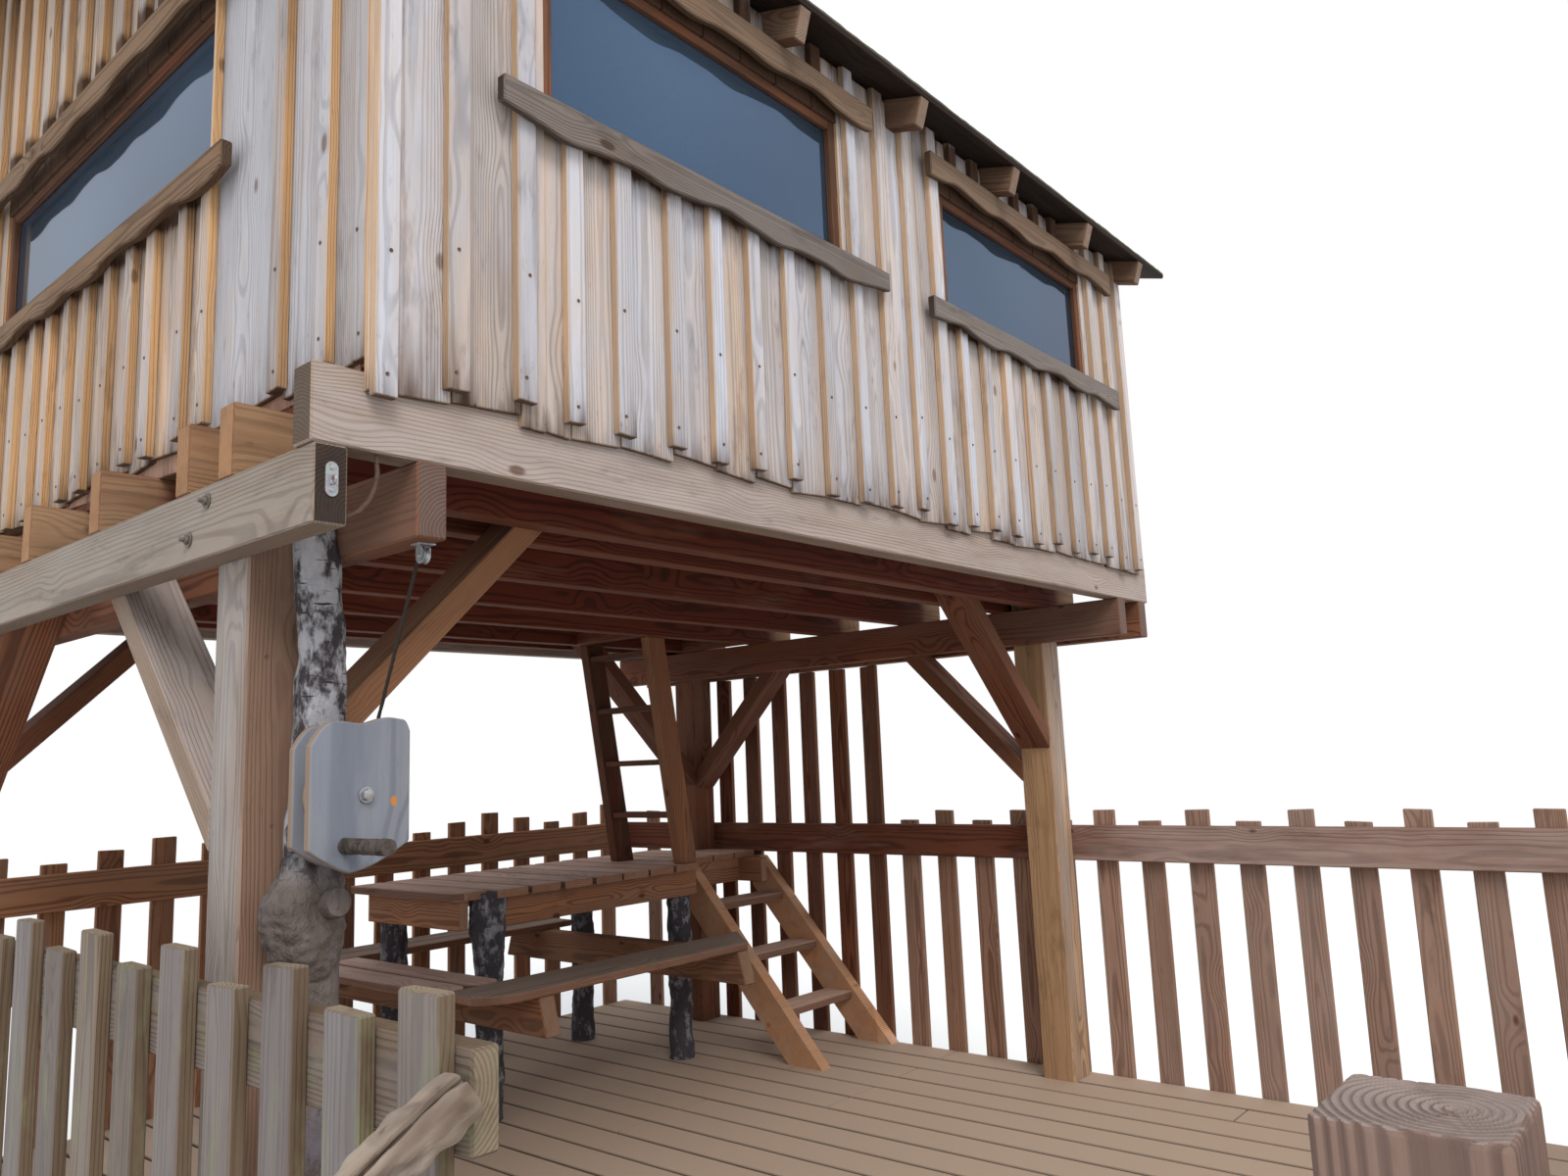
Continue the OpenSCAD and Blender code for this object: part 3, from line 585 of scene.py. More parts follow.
def lay(start, end, across, wide, thick, edge=0.003, cuts=6, age=0.5, stain=0.2, wander=0.0,
        cut0=None, cut1=None, heart=None, seed=None, tone_of=None, shape=None,
        foot_darkening=0.0, head_shade=0.0):
    """One timber from start to end, its width along across, copied from a blank and led to size.
    cut0 and cut1 are the normals of the planes that its ends are cut to."""
    start, end, across = Vector(start), Vector(end), Vector(across).normalized()
    along = (end - start).normalized()
    through = along.cross(across)
    length = (end - start).length
    if cuts not in BLANKS:
        BLANKS[cuts] = sawn_blank(cuts)
    mesh = BLANKS[cuts].copy()
    p = points_of(mesh)
    t, a, b = p[:, 0], p[:, 1], p[:, 2]
    edge = min(edge, 0.4 * wide, 0.4 * thick)
    last = length - (1 - t) / EDGE_SHARE * edge
    between = edge + (t - 0.1) / 0.8 * (length - 2 * edge)
    run = np.where(t < 0.0999, t / EDGE_SHARE * edge, np.where(t > 0.9001, last, between))
    side = np.sign(a) * (wide / 2 - (0.5 - np.abs(a)) / EDGE_SHARE * edge)
    deep = np.sign(b) * (thick / 2 - (0.5 - np.abs(b)) / EDGE_SHARE * edge)
    share = run / length
    if wander:
        k1, k2, k3 = chance.uniform(0, 6), chance.uniform(0, 6), chance.uniform(-1, 1)
        bow = (0.6 * np.sin(share * 3.1 + k1) + 0.4 * np.sin(share * 7.3 + k2)
               + 0.5 * k3 * (share - 0.5))
        side = side + wander * bow * (1 + 0.3 * np.sign(a) * math.sin(k2))
        deep = deep + 0.25 * wander * np.sin(share * 4.1 + k2)
    if shape:
        run, side, deep = shape(run, side, deep, share, np.sign(a), np.sign(b))
    for normal, weight in ((cut0, 1 - share), (cut1, share)):
        if normal is not None:
            n = Vector(normal)
            slant = side * across.dot(n) + deep * through.dot(n)
            run = run - weight * slant / along.dot(n)
    places = (np.array(start) + run[:, None] * np.array(along) + side[:, None] * np.array(across)
              + deep[:, None] * np.array(through))
    set_points(mesh, places)
    if seed is None:
        seed = chance.uniform(0, 60)
    if heart is None:
        reach = max(0.02, 0.55 * max(wide, thick))
        aside = across * chance.uniform(-0.6, 0.6) * reach
        below = through * (reach if chance.random() < 0.5 else -reach) * chance.uniform(0.5, 1.6)
        heart = start + aside + below
    mark_grain(mesh, places, along, across, through, heart, seed)
    own = chance.random() if tone_of is None else tone_of
    years = age(places) if callable(age) else np.full(len(run), age)
    # The piece's dirt, with dark bands added at its foot and head; on the wall boards the strong
    # bands and the head band under the roof are painted shade.
    stain_and_shade = (stain + foot_darkening * np.clip(1 - run / 0.12, 0, 1)
              + head_shade * np.clip(1 - (length - run) / 0.10, 0, 1))
    finish = np.stack([np.full(len(run), own), years, stain_and_shade], axis=1)
    mark(mesh, "finish", "FLOAT_VECTOR", "POINT", finish, "vector")
    return new_object("timber", mesh)


def lay_x(x0, x1, y, z, wide, thick, across=Z, **how):
    """A level timber along X, on edge unless across says otherwise."""
    return lay((x0, y, z), (x1, y, z), across, wide, thick, **how)


def lay_y(y0, y1, x, z, wide, thick, across=Z, **how):
    return lay((x, y0, z), (x, y1, z), across, wide, thick, **how)


def lay_z(z0, z1, x, y, wide, thick, across=X, **how):
    return lay((x, y, z0), (x, y, z1), across, wide, thick, **how)


def own_grain(piece, along, across, flank_axis=None, age=0.7, stain=0.2, heart=(0.02, 0, -0.4),
              seed=3.0):
    """Grain, finish and flank marks for a piece that wasn't cut from a blank."""
    mesh = piece.data
    p = points_of(mesh)
    mark_grain(mesh, p, along, across, along.cross(across), heart, seed)
    finish = np.tile([0.5, age, stain], (len(p), 1))
    mark(mesh, "finish", "FLOAT_VECTOR", "POINT", finish, "vector")
    flank = [0.0] * len(mesh.polygons)
    if flank_axis is not None:
        facing_it = (abs(face.normal.dot(flank_axis)) for face in mesh.polygons)
        flank = [1.0 - min(1.0, max(0.0, (share - 0.4) / 0.4)) for share in facing_it]
    mark(mesh, "flank", "FLOAT", "FACE", flank, "value")
    return piece


def gather(name, pieces, finish, nodes=(), body="house"):
    """The pieces become one, with its finish, and ride on their body in place of the plain
    solids."""
    put_down()
    for piece in pieces:
        piece.select_set(True)
    bpy.context.view_layer.objects.active = pieces[0]
    if len(pieces) > 1:
        bpy.ops.object.join()
    whole = bpy.context.view_layer.objects.active
    whole.name = name
    whole.data.name = name
    whole.data.materials.clear()
    whole.data.materials.append(finish)
    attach(whole, body)
    if nodes:
        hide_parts(*nodes)
    return whole


def copies(model, places):
    """Each place is a matrix; every copy has its own mesh, with its place in it."""
    made = []
    for place in places:
        mesh = model.data.copy()
        mesh.transform(place)
        made.append(new_object(model.name, mesh))
    bpy.data.objects.remove(model)
    return made


def facing(place, direction):
    """A matrix that stands a piece made along Z at place, along direction."""
    turn = Vector(direction).to_track_quat("Z", "Y").to_matrix().to_4x4()
    return Matrix.Translation(Vector(place)) @ turn


# ---------------------------------------------------------------- posts and floor frame
def build_posts():
    posts = (("near_left", 0, 0, LEFT_POST, 0.80, Y), ("near_right", SPAN_X, 0, HONEY, 0.30, X),
             ("far_left", 0, SPAN_Y, BROWN, 0.35, X), ("far_right", SPAN_X, SPAN_Y, BROWN, 0.15, X))
    for place, x, y, finish, age, across in posts:
        name = place + "_post"
        post = lay_z(0, FLOOR_Z, x, y, POST, POST, across, edge=0.005, cuts=14, age=age,
                     stain=0.35, wander=0.002, heart=(x + 0.02, y - 0.015, 0))
        gather(name + "_timber", [post], finish, [name])


def out_of_the_frame(places):
    """Rain reaches the joists only where they stand out past the beams."""
    return np.clip(np.maximum(0.06 - places[:, 0], places[:, 0] - 3.56) / 0.08, 0, 1) - 0.1


def near_the_front(places):
    """Rain reaches the first stretch of a beam under the cabin's front."""
    return 1.05 * np.clip((0.25 - places[:, 1]) / 0.45, 0, 1) + 0.1


def build_beams():
    for side, x, age in (("left", 0.0, 0.85), ("right", SPAN_X, 0.35)):
        for place, dx in (("west", -0.110), ("east", 0.110)):
            outer = (dx < 0) == (side == "left")
            beam = lay_y(FRONT, BACK, x + dx, BEAM_Z + 0.079, 0.158, 0.070, edge=0.004, cuts=20,
                         age=age if outer else near_the_front, stain=0.3, wander=0.001,
                         heart=(x + dx + 0.05, 0, BEAM_Z + 0.02))
            gather("%s_beam_timber_%s" % (side, place), [beam],
                   BEAM if side == "left" and outer else INNER,
                   [side + "_beams"] if dx < 0 else ())
    middle = 2.650
    rims = [lay_x(-0.152, 3.794, y, middle, 0.160, 0.073, edge=0.004, cuts=24, age=0.8, stain=0.3,
                  wander=0.001, heart=(0, y + 0.02, 2.53)) for y in (-0.4485, 2.7025)]
    gather("rim_beam_timbers", rims, RIM, ["rim_beams"])
    joists = [lay_x(-0.145, 3.765, y + 0.033, middle, 0.160, 0.066, cuts=60,
                    age=out_of_the_frame, stain=0.35, wander=0.001)
              for y in (-0.141, 0.075, 0.600, 1.115, 1.604, 2.113, 2.329)]
    joists += [lay_y(1.670, 2.113, x, middle, 0.160, 0.066, age=0.1) for x in (2.657, 3.423)]
    gather("floor_joist_timbers", joists, JOIST, ["floor_joists"])


def build_cabin_floor():
    """Boards from wall to wall, cut back where the hatch above the ladder is."""
    boards = []
    edges = [WALL_LEFT + 0.142 * k for k in range(19)] + [2.690 + 0.140 * k for k in range(5)]
    edges += [3.390, 3.520, WALL_RIGHT]
    for low, high in zip(edges, edges[1:]):
        at_hatch = low > 2.68 and high < 3.40
        for y0, y1 in [(FRONT, 1.670), (2.113, BACK)] if at_hatch else [(FRONT, BACK)]:
            boards.append(lay_y(y0, y1, (low + high) / 2, 2.7425, high - low - 0.003, 0.025, X,
                                edge=0.002, age=0.1, stain=0.3))
    gather("cabin_floor_boards", boards, JOIST, ["cabin_floor"])


def brace_timber(post, inward, foot_z, top_z, age):
    """Knee brace from a post's face up to a level, cut upright at the foot, level at the top."""
    rise = 0.066 * math.sqrt(2)
    face = Vector((post[0], post[1], 0)) + inward * (POST / 2)
    foot = face + Z * (foot_z + rise / 2)
    reach = top_z - foot_z - rise / 2
    top = face + inward * reach + Z * top_z
    return lay(foot, top, inward.cross(Z), POST, 0.066, cuts=10, age=age, stain=0.3,
               cut0=inward, cut1=Z)


def build_braces():
    for side, x, inward, far_foot in (("left", 0.0, X, 1.945), ("right", SPAN_X, -X, 1.807)):
        along_wall, under_wall, plain = [], [], []
        for y, turn, foot in ((0.0, Y, 1.937), (SPAN_Y, -Y, far_foot)):
            shown = side == "left" and y == 0.0
            lean = brace_timber((x, y), turn, 1.790, JOIST_Z, 0.85 if shown else 0.15)
            (along_wall if shown else plain).append(lean)
            lean = brace_timber((x, y), inward, foot, FLOOR_Z, 0.45 if shown else 0.15)
            (under_wall if shown else plain).append(lean)
        gather(side + "_brace_timbers", plain, BROWN, [side + "_braces"])
        if along_wall:
            gather(side + "_grey_brace_timber", along_wall, RIM)
            gather(side + "_bright_brace_timber", under_wall, ORANGE)


# ---------------------------------------------------------------- cabin
# Battens, left to right: left edge along the wall, height of the foot
FRONT_BATTENS = [
    (-0.044, 2.676), (0.119, 2.726), (0.298, 2.741), (0.438, 2.720), (0.589, 2.721),
    (0.767, 2.725), (0.925, 2.712), (1.080, 2.721), (1.238, 2.720), (1.410, 2.700),
    (1.579, 2.705), (1.742, 2.715), (1.901, 2.728), (2.068, 2.701), (2.218, 2.715),
    (2.375, 2.721), (2.532, 2.719), (2.697, 2.710), (2.859, 2.730), (3.023, 2.712),
    (3.180, 2.727), (3.335, 2.731), (3.487, 2.689), (3.640, 2.705)]
LEFT_BATTENS = [
    (-0.525, 2.760), (-0.330, 2.790), (-0.125, 2.786), (0.257, 2.795), (0.395, 2.789),
    (0.595, 2.783), (0.740, 2.793), (0.905, 2.780), (1.067, 2.780), (1.228, 2.780),
    (1.385, 2.776), (1.536, 2.772), (1.705, 2.772), (1.865, 2.785), (2.030, 2.777),
    (2.190, 2.790), (2.350, 2.780), (2.510, 2.785), (2.729, 2.780)]
# Windows: left edge, right edge, sill, head
FRONT_WINDOWS = [(0.392, 1.560, 3.480, 3.950), (2.170, 3.300, 3.490, 3.945)]
LEFT_WINDOW = [(0.266, 1.980, 3.470, 3.945)]
BATTEN = 0.050
BATTEN_REPEAT = 0.160
ROOF_BOARD_UNDER = 0.1052
# How far from the front corner rain greys the left wall
RAIN_REACH = 0.13 - FRONT


def upright(pieces, wall, depth, low, high, foot, top, holes, thick, age, stain, head_room=None):
    """A board on a wall from foot to top, left out where a window hole crosses it. The wall is
    its corner, the way along it and the way that depth is measured."""
    corner, along, out = wall

    def place(s, z):
        return corner + along * s + out * depth + Z * z

    spans = [(low, high, foot, top)]
    for left, right, sill, head in holes:
        kept = []
        for a, b, z0, z1 in spans:
            if b <= left or a >= right:
                kept.append((a, b, z0, z1))
                continue
            if a < left:
                kept.append((a, left, z0, z1))
            if b > right:
                kept.append((right, b, z0, z1))
            inner = (max(a, left), min(b, right))
            above = head if head_room is None else head + head_room + chance.uniform(0, 0.02)
            kept += [(*inner, z0, sill), (*inner, above, z1)]
        spans = kept
    seed, own = chance.uniform(0, 60), chance.random()
    heart = place((low + high) / 2 + chance.uniform(-0.05, 0.05), 0)
    heart = heart + out * chance.uniform(0.02, 0.12) * chance.choice((-1, 1))
    for a, b, z0, z1 in spans:
        if b - a < 0.008 or z1 - z0 < 0.02:
            continue
        slant = chance.uniform(-0.08, 0.08) if z0 == foot else 0.0
        middle = (a + b) / 2
        # Painted shade: a board that starts above a window gets a strong dark band at its foot, by
        # the head board. One that ends under a sill gets a strong dark band at its top, and one
        # that reaches the roof a lighter dark band at its top. At the wall's foot a board's lower
        # end is darkened a little.
        pieces.append(lay(place(middle, z0), place(middle, z1), along, b - a, thick,
                          edge=0.0022, cuts=8, age=age + chance.uniform(-0.15, 0.2), stain=stain,
                          foot_darkening=0.7 if z0 == foot else 2.4,
                          head_shade=0.8 if z1 == top else 2.4, cut0=Z + along * slant,
                          cut1=ROOF_NORMAL if z1 == top else None, heart=heart, seed=seed,
                          tone_of=own))


def clad_wall(side, finish, wall, length, battens, holes, top, foot, ages, play, head_room,
              silver=0.0):
    """Wide boards with battens over their joints. top gives the height at a place along the
    wall; nearer than silver to its corner the wood is greyed."""
    pieces = []
    edges = [0.0] + [s + BATTEN / 2 for s, _ in battens[1:-1]] + [length]
    for low, high in zip(edges, edges[1:]):
        middle = (low + high) / 2
        board_foot = foot + chance.uniform(-play[0], play[0])
        upright(pieces, wall, 0.008, low + 0.002, high - 0.002, board_foot, top(middle), holes,
                0.016, ages[0] + (0.40 if middle < silver else 0.0), 0.25)
    for s, batten_foot in battens:
        wide = BATTEN + chance.uniform(-play[1], 0.006)
        s = min(max(s, 0.0), length - wide)
        upright(pieces, wall, 0.028, s, s + wide, batten_foot, top(s + wide / 2), holes,
                0.024, ages[1] + (0.35 if s < silver else 0.0), 0.2, head_room)
    gather(side + "_wall_cladding", pieces, finish, [side + "_wall"])


def line_wall(side, wall, length, holes, top, inset):
    """The stud wall with its inner boards as one plate with the window holes left open."""
    corner, along, out = wall
    inner = (corner + along * inset, along, -out)
    holes = [(a - inset, b - inset, *levels) for a, b, *levels in holes]
    length -= 2 * inset
    pieces = []
    edges = sorted({0.0, length, *(edge for hole in holes for edge in hole[:2])})
    for low, high in zip(edges, edges[1:]):
        upright(pieces, inner, 0.040, low, high, 2.755, top((low + high) / 2), holes,
                0.080, 0.05, 0.1)
    gather(side + "_wall_lining", pieces, TABLE)


def build_walls():
    """Front and back end level under the roof boards, the side walls follow the slope."""
    width, depth = CLAD_RIGHT - CLAD_LEFT, BACK - FRONT
    level = dict(foot=2.700, ages=(0.60, 0.75), play=(0.012, 0.005), head_room=0.085)
    sloped = dict(foot=2.778, ages=(0.50, 0.60), play=(0.010, 0.004), head_room=0.095)
    front = [(x - CLAD_LEFT, z) for x, z in FRONT_BATTENS]
    back = [(BATTEN_REPEAT * k, 2.715 + 0.012 * math.sin(2.3 * k)) for k in range(23)]
    back.append((width - BATTEN, 2.71))
    left = [(y - FRONT, z) for y, z in LEFT_BATTENS]
    right = [(BATTEN_REPEAT * k, 2.785 + 0.01 * math.sin(1.9 * k)) for k in range(20)]
    right.append((depth - BATTEN, 2.78))
    front_holes = [(a - CLAD_LEFT, b - CLAD_LEFT, *levels) for a, b, *levels in FRONT_WINDOWS]
    left_hole = [(a - FRONT, b - FRONT, *levels) for a, b, *levels in LEFT_WINDOW]

    def along_slope(s):
        return rafter_under(FRONT + s)

    def under_slope(s):
        return rafter_under(FRONT + 0.080 + s) - 0.001

    def line_at(y, drop=0.0):
        return lambda s: rafter_under(y) + 0.104 - drop

    for side, finish, corner, along, out, length, battens, holes, top, inner_top, inset, how in (
            ("front", LARCH, (CLAD_LEFT, FRONT, 0), X, -Y, width, front, front_holes,
             line_at(CLAD_FRONT), line_at(FRONT + 0.04), 0.040, level),
            ("back", LARCH, (CLAD_RIGHT, BACK, 0), -X, Y, width, back, [],
             line_at(CLAD_BACK, 0.014), line_at(BACK - 0.04), 0.040, level),
            ("left", LEFT_LARCH, (WALL_LEFT, FRONT, 0), Y, -X, depth, left, left_hole,
             along_slope, under_slope, 0.080, dict(sloped, silver=RAIN_REACH)),
            ("right", LARCH, (WALL_RIGHT, FRONT, 0), Y, X, depth, right, [],
             along_slope, under_slope, 0.080, sloped)):
        wall = (Vector(corner), along, out)
        clad_wall(side, finish, wall, length, battens, holes, top, **how)
        line_wall(side, wall, length, holes, inner_top, inset)


def live_edge(seed, swing=0.014):
    """The lower edge keeps the tree's own waving outline, further in at the front than at the
    back."""
    def shape(run, side, deep, share, a, b):
        wave = swing * (0.62 * np.sin(run * 17.0 + seed) + 0.38 * np.sin(run * 7.3 + 2.3 * seed)
                        + 0.12 * np.sin(run * 41.0 + seed))
        return run, np.where(a < 0, side + wave + np.where(b > 0, 0.006, 0.0), side), deep
    return shape


def build_window_boards():
    sills, heads = [], []
    for x0, x1, top, depth, seed in (
            (0.240, 1.740, 3.480, 0.078, 20), (2.006, 3.510, 3.490, 0.076, 130),
            (0.240, 1.690, 4.038, 0.084, 210), (2.040, 3.520, 4.038, 0.087, 300)):
        board = lay_x(x1, x0, CLAD_FRONT - 0.0155, top - depth / 2, depth, 0.029, edge=0.004,
                      cuts=72, age=0.75, stain=0.35, shape=live_edge(seed))
        (sills if top < 3.6 else heads).append(board)
    gather("front_sill_boards", sills, SILL, ["front_window_boards"])
    gather("front_head_boards", heads, LIVE_EDGE)
    left = [lay_y(0.134, 2.120, CLAD_LEFT - 0.0155, top - depth / 2, depth, 0.029, edge=0.004,
                  cuts=90, age=0.2, stain=0.5, shape=live_edge(seed))
            for top, depth, seed in ((3.470, 0.074, 40), (4.030, 0.082, 160))]
    gather("left_live_edge_boards", left, LIVE_EDGE, ["left_window_boards"])


def build_window_frames():
    """Slim frame strips round each pane, on its outer face."""
    strips = []
    how = dict(edge=0.002, age=0.2, stain=0.9)
    for (low, high, z0, z1), on_left in [(hole, False) for hole in FRONT_WINDOWS] + [
            (LEFT_WINDOW[0], True)]:
        for s in (low + 0.016, high - 0.016):
            x, y, across = (WALL_LEFT + 0.004, s, Y) if on_left else (s, FRONT + 0.004, X)
            strips.append(lay_z(z0, z1, x, y, 0.032, 0.020, across, **how))
        for z in (z0 + 0.014, z1 - 0.014):
            level, place = (lay_y, WALL_LEFT + 0.004) if on_left else (lay_x, FRONT + 0.004)
            strips.append(level(low + 0.032, high - 0.032, place, z, 0.028, 0.018, **how))
    gather("window_frame_strips", strips, INNER)
    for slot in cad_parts["window_glass"].material_slots:
        slot.material = GLASS


def build_roof():
    rafters = []
    foot, head = -0.619, 2.877
    for x in (0.006, 0.629, 1.262, 1.896, 2.531, 3.164, 3.689):
        start = Vector((x - 0.026, foot, rafter_under(foot))) + ROOF_NORMAL * 0.050
        rafters.append(lay(start, start + UPHILL * ((head - foot) / math.cos(SLOPE)), ROOF_NORMAL,
                           0.100, 0.052, edge=0.004, cuts=12, age=0.35, stain=0.45,
                           wander=0.001))
    gather("rafter_timbers", rafters, RAFTER, ["rafters"])
    front, back, left, right = -0.655, 2.913, -0.277, 3.919
    boards = []
    y = front
    while y < 2.90:
        wide = min(0.190, back - y)
        middle = y + wide / 2
        boards.append(lay_x(-0.275, 3.917, middle, rafter_under(middle) + ROOF_BOARD_UNDER + 0.0095,
                            wide / math.cos(SLOPE) - 0.002, 0.018, UPHILL, edge=0.002, age=0.15,
                            stain=0.35))
        y += wide
    gather("roof_boards", boards, SOFFIT, ["roof_deck"])

    middle = 1.129
    felt = started(bpy.ops.mesh.primitive_grid_add, x_subdivisions=150, y_subdivisions=130, size=1,
                   location=(1.821, middle, rafter_under(middle) + ROOF_BOARD_UNDER + 0.0255),
                   rotation=(SLOPE, 0, 0))
    felt.scale = (right - left, (back - front) / math.cos(SLOPE) - 0.008, 1)
    settle(felt)
    thicken(felt, 0.010)
    apply_all(felt)
    p = points_of(felt.data)
    lift = []
    for x, y, z in p:
        border = min(x - left, right - x, y - front, back - y) / 0.05
        tufts = (noise.noise(Vector((x * 9, y * 9, 3.1))) * 0.5
                 + noise.noise(Vector((x * 34, y * 34, 1.7))) * 0.5)
        lift.append(-0.004 + 0.0075 * (0.5 + tufts) if border > 1 else 0.007 * tufts - 0.003)
    p[:, 2] += np.array(lift) * 0.9
    p[:, 1] = np.clip(p[:, 1], front + 0.0005, back - 0.0005)
    set_points(felt.data, p)
    gather("mossy_felt_sheet", [felt], FELT)


# ---------------------------------------------------------------- deck and fences
def build_deck():
    boards = []
    gaps = [-0.265] + sorted(3.563 - 0.175 * k for k in range(22)) + [3.740]
    for low, high in zip(gaps, gaps[1:]):
        middle = (low + high) / 2
        near_end = DECK_FRONT if middle > -0.102 else ENTRY_BACK
        seam = chance.choice((-0.80, -0.27, 0.63, 1.14))
        for y0, y1 in ((near_end, seam - 0.0015), (seam + 0.0015, DECK_BACK)):
            boards.append(lay_y(y0, y1, middle, DECK - DECK_BOARD / 2, high - low - 0.014,
                                DECK_BOARD, X, edge=0.0035, cuts=12,
                                age=chance.uniform(0.35, 0.85), stain=0.55, wander=0.0010))
    deck = gather("deck_boarding", boards, DECKING, ["deck_boards"])
    for x, y in [(x, y) for x in (0, SPAN_X) for y in (0, SPAN_Y)] + [(-0.057, -2.230)]:
        cutter = started(bpy.ops.mesh.primitive_cube_add, size=1, location=(x, y, DECK),
                         scale=(0.154, 0.154, 0.2))
        hole = deck.modifiers.new("post_hole", "BOOLEAN")
        hole.object = cutter
        hole.solver = "EXACT"
        apply_all(deck)
        bpy.data.objects.remove(cutter)
    middle = DECK - DECK_BOARD - 0.0725
    joists = [lay_y(y0, y1, x, middle, 0.145, 0.045, age=0.6)
              for y0, y1, x in ((ENTRY_BACK, DECK_BACK, -0.2425), (DECK_FRONT, ENTRY_BACK, -0.1095),
                                (DECK_FRONT, DECK_BACK, 3.7175))]
    joists.append(lay_x(-0.132, 3.740, -2.670, middle, 0.145, 0.060, age=0.6))
    for y in (-2.155, -1.850, -1.340, -0.830, -0.300, 0.075, 0.600, 1.110, 1.620, 2.119, 2.620,
              2.970):
        joists.append(lay_x(-0.264, 3.739, y + 0.030, middle, 0.145, 0.060, age=0.4, cuts=10))
    gather("deck_frame_timbers", joists, FENCE, ["deck_frame"])
    bearers = [lay_y(DECK_FRONT, DECK_BACK, x + 0.030, 0.2555, 0.145, 0.060, age=0.4, cuts=10)
               for x in (0.075, 1.780, 3.485)]
    gather("deck_bearer_timbers", bearers, BEAM, ["deck_bearers"])
    pier = soft_block((0, 0, 0.0915), (0.2, 0.2, 0.183), 0.008)
    piers = copies(pier, [Matrix.Translation((x, y, 0)) for x in (0.105, 1.810, 3.515)
                          for y in (-2.5, -0.7, 1.1, 2.85)])
    gather("cast_piers", piers, CONCRETE, ["deck_piers"])


def picket(x, y, across, top, age, stain, own=None):
    foot = DECK - DECK_BOARD - 0.145 + 0.025
    cut = Z + across * chance.uniform(-0.04, 0.04)
    wide = 2 * PICKET_HALF + chance.uniform(-0.002, 0.002)
    return lay_z(foot, top, x, y, wide, 0.028, across, cuts=8,
                 age=age + chance.uniform(-0.25, 0.25), stain=stain, wander=0.0012, cut1=cut,
                 tone_of=own)


def rain_grey_and_painted_shade(places):
    """Grey outside the cabin's shelter, where rain weathers it; dark red-brown below it, partly the
    wood's own tone and partly painted shade.
    """
    return np.clip((0.35 - places[:, 1]) / 0.9, 0, 1) * 1.0 - 0.05


def picket_top(k):
    """Every other picket stands higher."""
    return RAIL_TOP + (0.067 if k % 2 == 0 else 0.019)


def picket_y(k):
    """Middle of picket k of the right fence, counted from the cabin's far end."""
    return 2.388 - k * PICKET_PITCH - PICKET_HALF


def washed_post(x, y, top, heart, ring):
    """A square post whose soft summer wood has washed out, so that its rings stand up on the
    head and run down the faces as grooves."""
    post = started(bpy.ops.mesh.primitive_cube_add, size=1, location=(x, y, top / 2),
                   scale=(POST, POST, top))
    settle(post)
    open_piece(post)
    bpy.ops.mesh.bevel(offset=0.008, segments=3)
    cut_across([(Vector((x, y, 0)) + normal * 0.0026 * k, normal)
                for k in range(-28, 29) for normal in (X, Y)])
    cut_across([((0, 0, top * k / 9), Z) for k in range(1, 9)])
    close_piece()
    p = points_of(post.data)
    from_heart = np.hypot(p[:, 0] - heart[0], p[:, 1] - heart[1])
    groove = np.clip(0.5 + 0.6 * np.sin(2 * math.pi * from_heart / ring), 0, 1)
    waver = np.array([noise.noise(Vector((px * 14, py * 14, pz * 2.5))) for px, py, pz in p])
    deep = 0.0019 * groove * (0.75 + waver)
    skin = 0.004
    for axis, middle in ((0, x), (1, y)):
        edge = np.clip((np.abs(p[:, axis] - middle) - POST / 2 + skin) / skin, 0, 1)
        p[:, axis] -= np.sign(p[:, axis] - middle) * edge * deep
    edge = np.clip((p[:, 2] - top + skin) / skin, 0, 1)
    p[:, 2] -= edge * (0.9 * deep + 0.0015 * (0.5 + waver))
    set_points(post.data, p)
    own_grain(post, Z, X, age=0.70, stain=0.3, heart=(*heart, 0), seed=5.0)
    ends = [2.0 if face.normal.z > 0.8 else 0.0 for face in post.data.polygons]
    mark(post.data, "flank", "FLOAT", "FACE", ends, "value")
    return post


